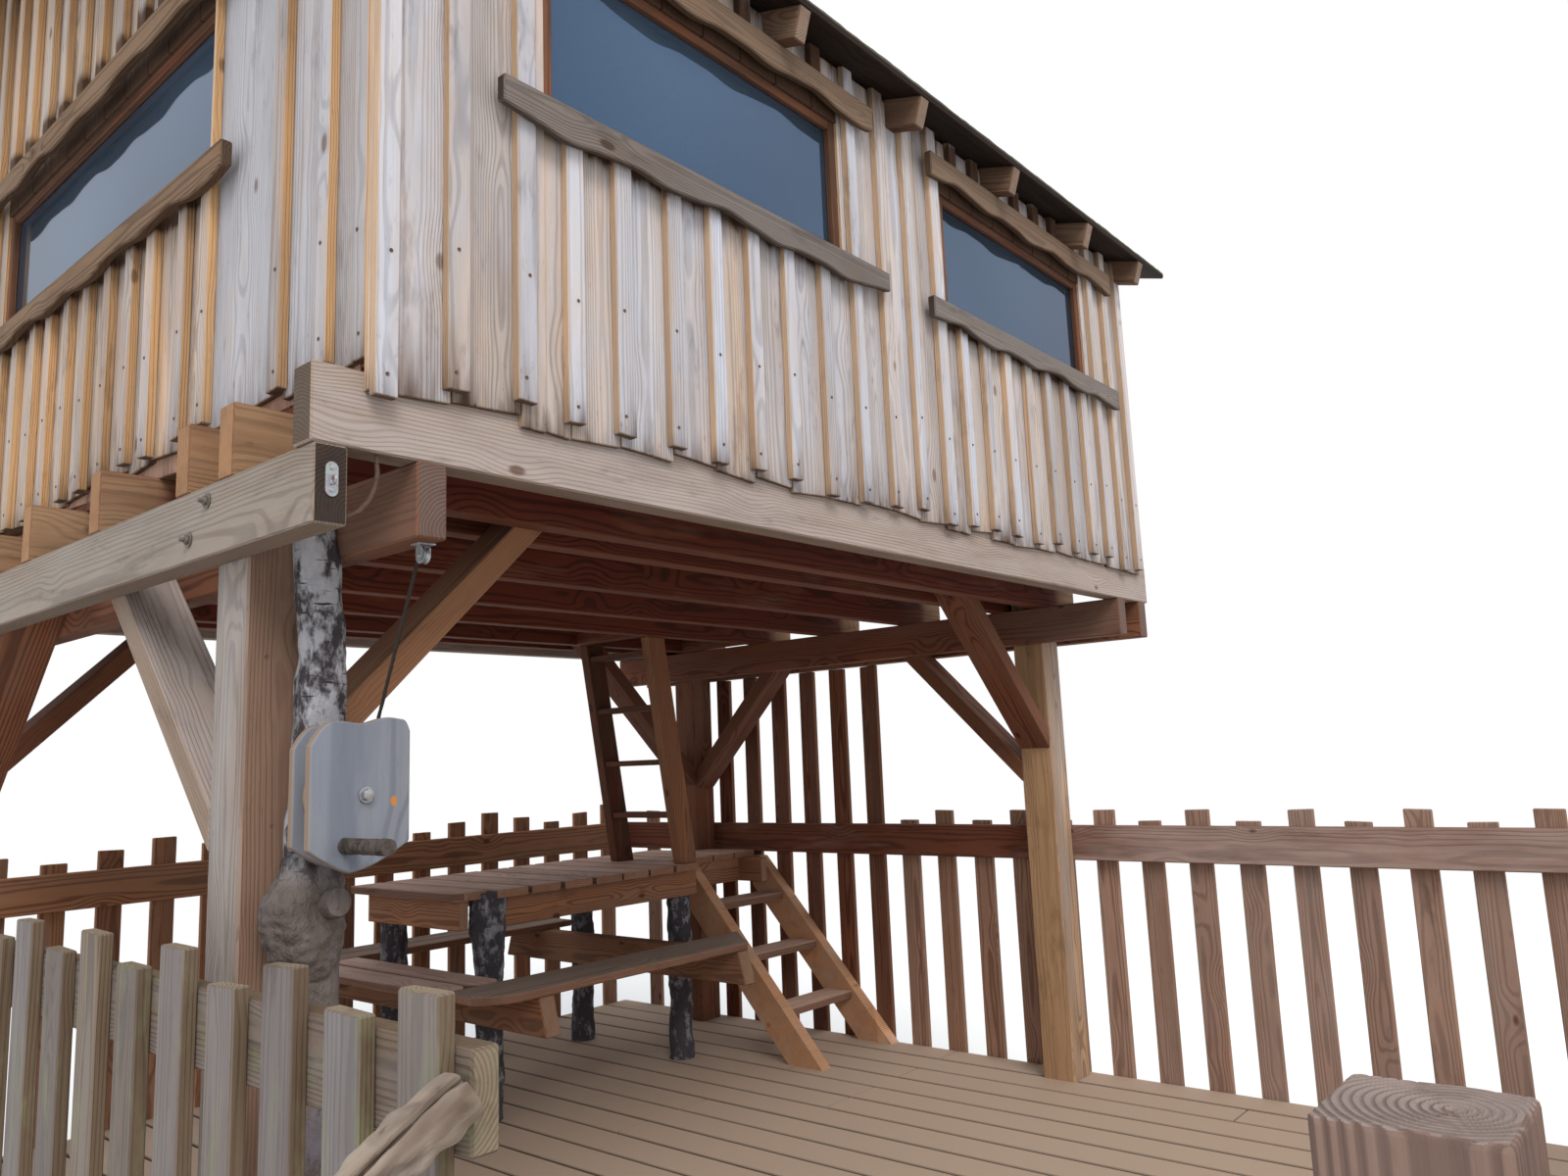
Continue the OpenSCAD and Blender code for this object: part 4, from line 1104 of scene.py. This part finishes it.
def build_fences():
    rail = lay_y(DECK_FRONT, DECK_BACK, 3.7175, RAIL_Z, 0.155, 0.045, edge=0.004, cuts=60,
                 age=rain_grey_and_painted_shade, stain=0.3, wander=0.001)
    gather("right_fence_rail", [rail], RAIL)
    pickets = [picket(3.754, picket_y(k), Y, picket_top(k),
                      0.05 if k < 11 else 0.65, 0.25) for k in [-2, -1, *range(7, 24)]]
    gather("right_fence_pickets", pickets, FENCE, ["right_railing"])
    tall = [picket(3.754, picket_y(k), Y, BEAM_Z - 0.002, 0.15, 0.3)
            for k in range(7)]
    gather("tall_fence_pickets", tall, BROWN, ["tall_pickets"])

    how = dict(edge=0.004, cuts=20, stain=0.3)
    rail = lay_y(-1.170, DECK_BACK, -0.2425, RAIL_Z + 0.010, 0.135, 0.045, age=0.6, wander=0.001,
                 **how)
    pickets = [picket(-0.279, -1.136 + k * 0.195 + PICKET_HALF, Y, picket_top(k) + 0.004, 0.85,
                      0.3, own=0.82 if k == 0 else None) for k in range(22)]
    gather("left_fence", [rail, *pickets], GREEN_FENCE, ["left_railing"])
    rail = lay_x(-0.220, 3.695, 3.0075, RAIL_Z, 0.155, 0.045, age=0.3, **how)
    pickets = [picket(-0.1445 + k * 0.2185 + PICKET_HALF, 3.044, X,
                      RAIL_TOP + 0.078 + 0.039 * math.sin(math.radians(90 * k)), 0.3, 0.25)
               for k in range(18)]
    gather("back_fence", [rail, *pickets], ORANGE, ["back_railing"])
    rail = lay_x(-0.132, 3.695, -2.6775, RAIL_Z, 0.155, 0.045, age=0.7, **how)
    pickets = [picket(-0.112 + k * PICKET_PITCH + PICKET_HALF, -2.714, X, picket_top(k), 0.5, 0.25)
               for k in range(18)]
    gather("near_fence", [rail, *pickets], FENCE, ["near_railing"])
    rail = lay_y(-2.655, -2.305, -0.1095, RAIL_Z, 0.155, 0.045, edge=0.004, age=0.7, stain=0.3)
    pickets = [picket(-0.146, -2.680 + k * 0.190 + PICKET_HALF, Y, picket_top(k), 0.6, 0.3)
               for k in (0, 1)]
    gather("entry_fence", [rail, *pickets], FENCE, ["entry_railing"])
    newel = washed_post(-0.057, -2.230, 1.632, (-0.055, -2.252), 0.0085)
    gather("newel_timber", [newel], NEWEL, ["newel_post"])


def rough_log(path, radii, sides=28, rings=40, lumps=0.004, scale=9.0, seed=0.0, split=None):
    """A natural stem along a path: a round bar, cut across many times, then led along the path
    with its own swelling and knots. A split, given as the direction it opens to, runs along the
    stem and closes towards its end."""
    stem = started(bpy.ops.mesh.primitive_cylinder_add, vertices=sides, radius=1, depth=1,
                   location=(0, 0, 0.5))
    settle(stem)
    open_piece(stem)
    cut_across([((0, 0, k / rings), Z) for k in range(1, rings)])
    close_piece()
    stations = np.linspace(0, 1, len(path))
    girths = np.linspace(0, 1, len(radii))
    lines = [[point[i] for point in path] for i in range(3)]
    up = (Vector(path[-1]) - Vector(path[0])).normalized()
    first = up.orthogonal().normalized()
    second = up.cross(first)
    if split is not None:
        split = math.atan2(Vector(split).dot(second), Vector(split).dot(first))
    places = []
    for x, y, t in points_of(stem.data):
        centre = Vector([np.interp(t, stations, line) for line in lines])
        radius = float(np.interp(t, girths, radii))
        off = first * x + second * y
        spot = centre + off * radius
        swell = (noise.noise(spot * scale + Vector((seed, 0, 0))) * lumps * 1.6
                 + noise.noise(spot * scale * 3.7 + Vector((0, seed, 0))) * lumps * 0.6)
        spot = spot + off * swell * (1.0 if 0.001 < t < 0.999 else 0.4)
        if split is not None:
            course = split + 0.16 * math.sin(5.0 * t + seed) + 0.05 * math.sin(23.0 * t)
            apart = abs((math.atan2(y, x) - course + math.pi) % (2 * math.pi) - math.pi)
            closing = max(0.0, 1 - max(0.0, (t - 0.55) / 0.4))
            open_half = 0.13 * (0.35 + 0.65 * closing)
            spot = spot - off * radius * 0.45 * closing * max(0.0, 1 - apart / open_half)
        places.append(tuple(spot))
    set_points(stem.data, np.array(places))
    turn_out(stem)
    smooth(stem, 50)
    return stem


def build_branch():
    slope = math.tan(math.radians(26))
    path = [(-0.278 - 0.787 * t, -1.176 - 0.006 * math.sin(4 * t),
             1.530 - 0.787 * t * slope + 0.006 * math.sin(5 * t))
            for t in (0, 0.2, 0.4, 0.6, 0.8, 1)]
    along = (Vector(path[-1]) - Vector(path[0])).normalized()
    rail = rough_log(path, [0.034, 0.035, 0.036, 0.038, 0.039, 0.038, 0.040, 0.040, 0.041, 0.041],
                     sides=96, rings=110, lumps=0.010, scale=10, seed=2.0,
                     split=(-0.05, -0.55, 0.83))
    own_grain(rail, along, Y, age=0.75, stain=0.8, heart=Vector(path[0]) + Z * 0.004)
    stake = rough_log([(-1.065, -1.174, 0.0), (-1.065, -1.174, 1.160)],
                      [0.045, 0.043, 0.040, 0.038], seed=5.0)
    own_grain(stake, Z, X, age=0.6, stain=0.4, heart=(-1.062, -1.172, 0))
    gather("debarked_branch_rail", [rail, stake], BRANCH_WOOD, ["branch_handrail"])


# ---------------------------------------------------------------- table, benches, stair, ladder
def round_corner(run, side, deep, share, a, b):
    """At the near end one edge swings in, as on a board whose corner was sawn round."""
    near = np.clip(1 - run / 0.060, 0, 1)
    return run, np.where(a < 0, side + 0.050 * near ** 2, side), deep


def toe_and_slant(run, side, deep, share, a, b):
    """A round toe at the near corner, and the right end cut on a slant."""
    toe = np.clip(1 - run / 0.17, 0, 1)
    side = np.where(a < 0, side + 0.115 * toe ** 2, side)
    near = (0.140 - side) / 0.280
    return run - share * 0.230 * near, side, deep


def rounded(run, side, deep, share, a, b):
    """Both near corners are rounded."""
    near = np.clip(1 - run / 0.060, 0, 1)
    return run, side * (1 - 0.50 * near ** 2), deep


def build_table():
    slats = []
    pitch = 0.174
    wide = pitch - 0.019
    for k in range(12):
        near = (1.600 if k < 8 else 1.850) + 0.008 * math.sin(math.radians(k * 70))
        far = near + (0.900 if k < 8 else 0.320 if k > 10 else 0.650)
        own = dict(wander=0.001)
        if k == 0:
            near += 0.062
            own = dict(cuts=70, shape=round_corner)
        slats.append(lay_y(near, far, 1.600 + k * pitch + wide / 2, 1.4225, wide, 0.034, X,
                           edge=0.004, age=0.6, stain=0.3, **own))
    gather("table_slats", slats, TABLE, ["table_top"])
    apron = (1.3425, 0.125, 0.045)  # level, depth, thickness
    bearers = [lay_x(x0, x1, y, *apron, age=age) for x0, x1, y, age in (
        (1.760, 3.010, 1.6875, 0.3), (3.110, 3.691, 1.9025, 0.2), (1.760, 3.691, 2.4525, 0.2))]
    bearers += [lay_y(1.710, 2.430, x, *apron, age=0.2) for x in (1.6725, 2.9075, 3.5825)]
    bearers += [lay_y(1.180, 2.940, x, 0.991, 0.150, 0.075, edge=0.005, age=0.3,
                      cut0=Y - Z * 0.3, cut1=Y + Z * 0.3) for x in (1.7025, 2.8375)]
    bearers += [lay_x(1.400, 1.665, y, 1.036, 0.060, 0.060, age=0.3) for y in (1.590, 2.470)]
    gather("table_bearer_timbers", bearers, ORANGE, ["table_bearers"])
    legs = []
    for x, y in ((1.800, 1.720), (2.940, 1.730), (1.780, 2.430), (2.930, 2.470)):
        path = [(x, y, DECK), (x + 0.004, y, 0.95), (x, y + 0.003, 1.405)]
        radii = [0.062, 0.058, 0.056, 0.060, 0.057, 0.055]
        if not legs:
            path = [(x, y, DECK), (x + 0.004, y, 0.80), (x, y, 1.12), (x - 0.012, y - 0.016, 1.430)]
            radii = [0.062, 0.058, 0.056, 0.058, 0.060, 0.076, 0.080]
        legs.append(rough_log(path, radii, sides=40, rings=70, lumps=0.006, scale=11,
                              seed=len(legs) * 3.0))
    gather("birch_legs", legs, LEG_BARK, ["table_legs"])


def build_benches():
    seat, thick = 1.083, 0.033
    planks = [lay_x(1.420, 3.090, 1.330, seat, 0.280, thick, Y, edge=0.005, cuts=70, age=0.7,
                    stain=0.3, shape=toe_and_slant)]
    planks += [lay_x(1.500, 3.000, y, seat, 0.138, thick, Y, edge=0.004, cuts=10, age=0.6,
                     stain=0.3) for y in (2.710, 2.860)]
    gather("long_bench_planks", planks, BENCH, ["long_benches"])
    planks = [lay_y(1.480, 2.620, x, seat, 0.140, thick, X, edge=0.004, cuts=60, age=0.8,
                    stain=0.15, tone_of=0.005, shape=rounded) for x in (1.475, 1.635)]
    gather("side_bench_planks", planks, TABLE, ["side_bench"])


def build_stair():
    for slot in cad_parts["stair_stringers"].material_slots:
        slot.material = STAIR_GRAIN
    rise = 0.238
    going = rise / math.tan(math.radians(47.2))
    treads = [lay_x(3.175, 3.670, 0.980 + k * going + 0.012 + 0.0825, DECK + k * rise - 0.018,
                    0.165, 0.036, Y, edge=0.004, age=0.7, stain=0.15, tone_of=0.82)
              for k in (1, 2, 3)]
    gather("stair_tread_boards", treads, TABLE, ["stair_treads"])


def build_ladder():
    foot, lean = 1.440, 0.17

    def leaning(z):
        return 2.940 - lean * (z - foot)

    # Painted light and shade: the near stile gets the brighter orange timber, and the far stile the
    # dark joist timber with heavy stain, though both are one ladder's wood.
    near_side, far_side = [
        lay((leaning(foot), y, foot), (leaning(JOIST_Z), y, JOIST_Z), X,
            0.114 / math.sqrt(1 + lean * lean), 0.060, edge=0.004, cuts=10, age=0.0, stain=stain,
            cut0=Z, cut1=Z) for y, stain in ((1.670, 0.25), (2.143, 0.9))]
    rungs = [lay_y(1.700, 2.113, leaning(z), z - 0.014, 0.090, 0.028, X, age=0.0, stain=0.9)
             for z in (1.695, 1.960, 2.235, 2.510)]
    gather("ladder_timbers", [far_side, *rungs], JOIST, ["ladder"])
    gather("ladder_near_side", [near_side], ORANGE)


# ---------------------------------------------------------------- hoist
AXLE = Vector((0.060, 0.0, 1.901))
FLAT_Y = -0.198


def on_axle(reach):
    """A place on the winch's axle, as far as reach in front of the pole's flat."""
    return Vector((AXLE.x, FLAT_Y - reach, AXLE.z))


def plate_head(u):
    """Height of the plates' wavy head above the axle, at a share u of their width."""
    wave = 142 + 14 * u - 4 * math.cos(math.radians(720 * u))
    corners = (38 * max(0, 1 - u / 0.2) ** 2, 24 * max(0, (u - 0.93) / 0.07) ** 2)
    return (wave - corners[0] - corners[1]) / 1000


def plate_foot(u):
    rise = 49 * (1 - u / 0.4) ** 1.3 if u < 0.4 else 54 * ((u - 0.4) / 0.6) ** 1.6
    return (-152 + rise) / 1000


def cut_plate(x, y_front, thick, size):
    """A board cut to the wavy winch outline, its rims worn round."""
    cuts = 60
    corners = 2 * (cuts + 1)
    plate = started(bpy.ops.mesh.primitive_circle_add, vertices=corners, radius=1,
                    fill_type="NGON")
    placed = []
    for k in range(corners):
        u = k / cuts if k <= cuts else 2 + 1 / cuts - k / cuts
        high = plate_foot(u) if k <= cuts else plate_head(u)
        placed.append((x + size * (-0.118 + 0.218 * u), y_front, AXLE.z + size * high))
    set_points(plate.data, np.array(placed))
    open_piece(plate)
    bpy.ops.mesh.extrude_region_move(TRANSFORM_OT_translate={"value": (0, thick, 0)})
    turn_out(plate)
    wear_rims(plate, 0.004, 3, 50)
    apply_all(plate)
    return own_grain(plate, Z, X, flank_axis=Y)


def round_bar(start, end, radius, sides=32, worn=0.002):
    """A short turned bar with broken rims."""
    start, end = Vector(start), Vector(end)
    bar = started(bpy.ops.mesh.primitive_cylinder_add, vertices=sides, radius=radius,
                  depth=(end - start).length)
    bar.data.transform(facing((start + end) / 2, end - start))
    wear_rims(bar, worn)
    apply_all(bar)
    smooth(bar, 35)
    return bar


def washer(centre, axis, outer, inner, thick):
    """A flat ring: a hole is left open through it."""
    ring = started(bpy.ops.mesh.primitive_circle_add, vertices=36, radius=inner,
                   fill_type="NOTHING")
    open_piece(ring)
    bpy.ops.mesh.extrude_edges_move(TRANSFORM_OT_translate={"value": (0, 0, 0)})
    bpy.ops.transform.resize(value=(outer / inner, outer / inner, 1))
    close_piece()
    thicken(ring, thick)
    wear_rims(ring, thick * 0.25)
    apply_all(ring)
    turn_out(ring)
    ring.data.transform(facing(centre, axis))
    return ring


def torus(place, axis, radius, bar, around, across):
    """A closed ring of round bar."""
    ring = started(bpy.ops.mesh.primitive_torus_add, major_radius=radius, minor_radius=bar,
                   major_segments=around, minor_segments=across)
    ring.data.transform(facing(place, axis))
    return ring


def build_hoist():
    """The birch pole with its burl and stub, the hand winch on it and the taut rope."""
    pole = rough_log(
        [(0.055, -0.140, DECK), (0.052, -0.140, 1.0), (0.050, -0.142, 1.40), (0.044, -0.144, 1.62),
         (0.055, -0.140, 1.80), (0.057, -0.138, 2.0), (0.062, -0.144, 2.2), (0.040, -0.148, 2.40),
         (0.027, -0.150, 2.562)],
        [0.058, 0.059, 0.059, 0.060, 0.061, 0.063, 0.054, 0.050, 0.046, 0.044, 0.043],
        rings=150, sides=56, lumps=0.006, scale=8, seed=1.3)
    burl = rough_log(
        [(0.040, -0.148, 1.520), (0.024, -0.152, 1.575), (0.016, -0.153, 1.635),
         (0.022, -0.152, 1.690), (0.040, -0.146, 1.760), (0.050, -0.140, 1.795)],
        [0.044, 0.070, 0.082, 0.078, 0.056, 0.040],
        rings=60, sides=72, lumps=0.012, scale=15, seed=9.0)
    stub = rough_log([(0.040, -0.150, 1.672), (0.046, -0.200, 1.680), (0.049, -0.252, 1.688)],
                     [0.046, 0.036, 0.029, 0.027], rings=22, sides=36, scale=30, seed=4.0)
    gather("birch_pole", [pole, burl, stub], POLE_BARK, ["hoist_pole"])
    back_board = cut_plate(0.078, FLAT_Y - 0.020, 0.020, 0.97)
    gather("winch_back_board", [back_board], PLATE, ["winch_mount"])
    axle = round_bar(on_axle(0.010), on_axle(0.142), 0.008)
    nut = round_bar(on_axle(0.137), on_axle(0.146), 0.0125, sides=6, worn=0.0012)
    ring = washer(on_axle(0.1355), Y, 0.0165, 0.0082, 0.002)
    gather("winch_axle_and_nut", [axle, nut, ring], ZINC)

    front = cut_plate(0.060, FLAT_Y - 0.132, 0.022, 1.0)
    flange = round_bar(on_axle(0.026), on_axle(0.038), 0.080, sides=64)
    own_grain(flange, Z, X, flank_axis=Y)
    gather("winch_plates", [front, flange], PLATE, ["winch_crank"], body="crank")
    drum = round_bar(on_axle(0.038), on_axle(0.110), 0.040, sides=48)
    own_grain(drum, Y, X)
    gather("winch_drum", [drum], HONEY, body="crank")
    turns = [torus(on_axle(0.044 + 0.0085 * k), Y, 0.042, 0.004, 48, 10) for k in range(7)]
    gather("rope_turns_on_drum", turns, ROPE, body="crank")
    peg = rough_log([(0.018, FLAT_Y - 0.132, 1.803), (0.018, FLAT_Y - 0.292, 1.803)],
                    [0.0165, 0.0155, 0.0158, 0.0165], rings=24, lumps=0.0008, scale=60, seed=7.0)
    gather("winch_peg", [peg], PEG_BARK, body="crank")
    rope = rough_log([(0.104, -0.242, 1.933), (0.125, -0.411, 2.386)], [0.0038, 0.0038],
                     rings=120, sides=10, lumps=0.0005, scale=90)
    gather("taut_hoist_rope", [rope], ROPE, ["hoist_rope"])


def led_to(piece, x, y, z):
    """The piece's points take new places, and its faces point outwards again."""
    set_points(piece.data, np.stack([x, y, z], axis=1))
    turn_out(piece)
    return piece


def build_pulley():
    """A wheel between two cheeks that hang from a plate below the beam."""
    x, y, z = 0.125, -0.428, BEAM_Z - 0.026
    parts = [soft_block((x, y, BEAM_Z - 0.002), (0.040, 0.032, 0.004), 0.0012)]
    for dx in (-0.0095, 0.0095):
        cheek = started(bpy.ops.mesh.primitive_cylinder_add, vertices=40, radius=0.5, depth=1)
        a, b, c = points_of(cheek.data).T
        parts.append(led_to(cheek, x + dx + c * 0.003, y + a * 0.022,
                            z + b * 0.022 + np.where(b > 0.01, 0.012, 0.0)))
    parts.append(round_bar((x - 0.014, y, z), (x + 0.014, y, z), 0.0035, sides=20, worn=0.0006))
    wheel = started(bpy.ops.mesh.primitive_cylinder_add, vertices=48, radius=0.017, depth=0.014)
    open_piece(wheel)
    cut_across([((0, 0, 0), Z)])
    close_piece()
    p = points_of(wheel.data)
    p[np.abs(p[:, 2]) < 0.001, 0:2] *= 0.72
    set_points(wheel.data, p)
    wheel.data.transform(facing((x, y, z), X))
    parts.append(wheel)
    gather("hanging_pulley", parts, ZINC, ["pulley"])


def build_eye_plate():
    """Eye plate with its ring on the outer beam's end, and the twig caught behind it."""
    x, z = -0.109, 2.500
    eye = started(bpy.ops.mesh.primitive_cylinder_add, vertices=40, radius=0.013, depth=0.003)
    a, b, c = points_of(eye.data).T
    parts = [led_to(eye, x + a, FRONT - 0.0017 + c, z + b + np.where(b > 0, 0.021, -0.021))]
    parts += [round_bar((x, FRONT - 0.0025, z + dz), (x, FRONT - 0.0055, z + dz), 0.0042,
                        sides=18, worn=0.001) for dz in (-0.022, 0.022)]
    parts.append(torus((x, FRONT - 0.010, 2.498), X, 0.0085, 0.0026, 32, 12))
    gather("beam_eye_plate", parts, ZINC)
    twig = rough_log([(-0.008, -0.470, 2.566), (-0.005, -0.470, 2.530), (-0.009, -0.468, 2.502),
                      (-0.020, -0.466, 2.474), (-0.040, -0.464, 2.450), (-0.076, -0.462, 2.430)],
                     [0.0045, 0.0050, 0.0055, 0.0060, 0.0060, 0.0050], sides=16, lumps=0.0008,
                     scale=40, seed=3.0)
    gather("bent_twig", [twig], TWIG)


def build_bolts():
    """Coach bolts through the beams."""
    heads = []
    for place, out in (((-0.146, -0.030, 2.534), -X), ((-0.146, 0.056, 2.462), -X),
                       ((3.766, 0.02, 2.53), X), ((3.766, -0.02, 2.45), X),
                       ((-0.146, 2.27, 2.52), -X), ((-0.146, 2.24, 2.46), -X)):
        place = Vector(place)
        heads += [washer(place + out * 0.0015, out, 0.017, 0.006, 0.0025),
                  round_bar(place, place + out * 0.010, 0.0105, sides=6, worn=0.001),
                  round_bar(place, place + out * 0.020, 0.005, sides=16, worn=0.0008)]
    gather("beam_bolts", heads, DULL)


def build_screws():
    """Screw heads in the battens, the right fence and the near left post."""
    screw = started(bpy.ops.mesh.primitive_cylinder_add, vertices=12, radius=0.0042, depth=0.002)
    open_piece(screw)
    bpy.ops.mesh.select_all(action="DESELECT")
    close_piece()
    for face in screw.data.polygons:
        face.select = face.normal.z > 0.9
    bpy.ops.object.mode_set(mode="EDIT")
    bpy.ops.mesh.inset(thickness=0.0018)
    bpy.ops.transform.translate(value=(0, 0, -0.0010))
    close_piece()
    spots = []
    for battens, low, high, upper, out in ((FRONT_BATTENS, CLAD_LEFT, CLAD_RIGHT, 0.30, -Y),
                                           (LEFT_BATTENS, FRONT, BACK, 0.28, -X)):
        for s, foot in battens:
            for dz in (0.045, upper):
                centre = min(max(s, low), high - BATTEN) + BATTEN / 2
                centre += chance.uniform(-0.006, 0.006)
                z = foot + dz + chance.uniform(-0.01, 0.015)
                front = (centre, CLAD_FRONT - 0.0005, z)
                spots.append(facing(front if out == -Y else (CLAD_LEFT - 0.0005, centre, z), out))
    spots += [facing((3.7685, picket_y(k) + chance.uniform(-0.02, 0.02), RAIL_Z + dz), X)
              for k in range(24) for dz in (-0.035, 0.035)]
    spots += [facing((x, -0.0755, z), -Y) for x, z in ((-0.009, 1.842), (0.02, 1.2), (-0.03, 2.2))]
    gather("screw_heads", copies(screw, spots), RUSTY)


# ---------------------------------------------------------------- stage
def set_stage():
    """Pale ground that keeps the shadow and fades to white far out, with soft light."""
    ground = started(bpy.ops.mesh.primitive_circle_add, vertices=96, radius=60, fill_type="NGON",
                     location=(1.8, 0.3, -0.001))
    mix = Finish("pale_ground", 0.95, 0.1)
    mix.set("Base Color", (0.80, 0.80, 0.79))
    fade = mix.ramp(mix.length(mix.place()), 5.5, 13.0)
    white = mix.node("Emission", {"Color": rgba((1, 1, 1)), "Strength": 1.0})
    faded = mix.node("MixShader", {0: mix.times(fade, mix.seen()), 1: mix.shader.outputs[0],
                                   2: white.outputs[0]})
    mix.put(faded.outputs[0], mix.tree.nodes["Material Output"].inputs["Surface"])
    ground.data.materials.append(mix.material)
    ground.name = "pale_ground"
    world = bpy.data.worlds.new("soft_sky")
    bpy.context.scene.world = world
    world.use_nodes = True
    mix = Mixer(world.node_tree)
    soft = mix.node("Background", {"Color": rgba((0.93, 0.96, 1.0)), "Strength": 1.08})
    white = mix.node("Background", {"Color": rgba((1, 1, 1)), "Strength": 1.0})
    sky = mix.node("MixShader", {0: mix.seen(), 1: soft.outputs[0], 2: white.outputs[0]})
    mix.put(sky.outputs[0], mix.tree.nodes["World Output"].inputs["Surface"])
    sun = bpy.data.lights.new("soft_sun", "SUN")
    sun.energy = 1.95
    sun.angle = math.radians(28)
    sun.color = (1.0, 0.97, 0.93)
    lamp = new_object("soft_sun", sun)
    lamp.rotation_euler = Vector((-0.62, -0.95, 1.05)).to_track_quat("Z", "Y").to_euler()
    bpy.context.scene.view_settings.view_transform = "Standard"


place_camera()
set_stage()
build_posts()
build_beams()
build_cabin_floor()
build_braces()
build_walls()
build_window_boards()
build_window_frames()
build_roof()
build_deck()
build_fences()
build_branch()
build_table()
build_benches()
build_stair()
build_ladder()
build_hoist()
build_pulley()
build_eye_plate()
build_bolts()
build_screws()

for mesh in BLANKS.values():
    bpy.data.meshes.remove(mesh)
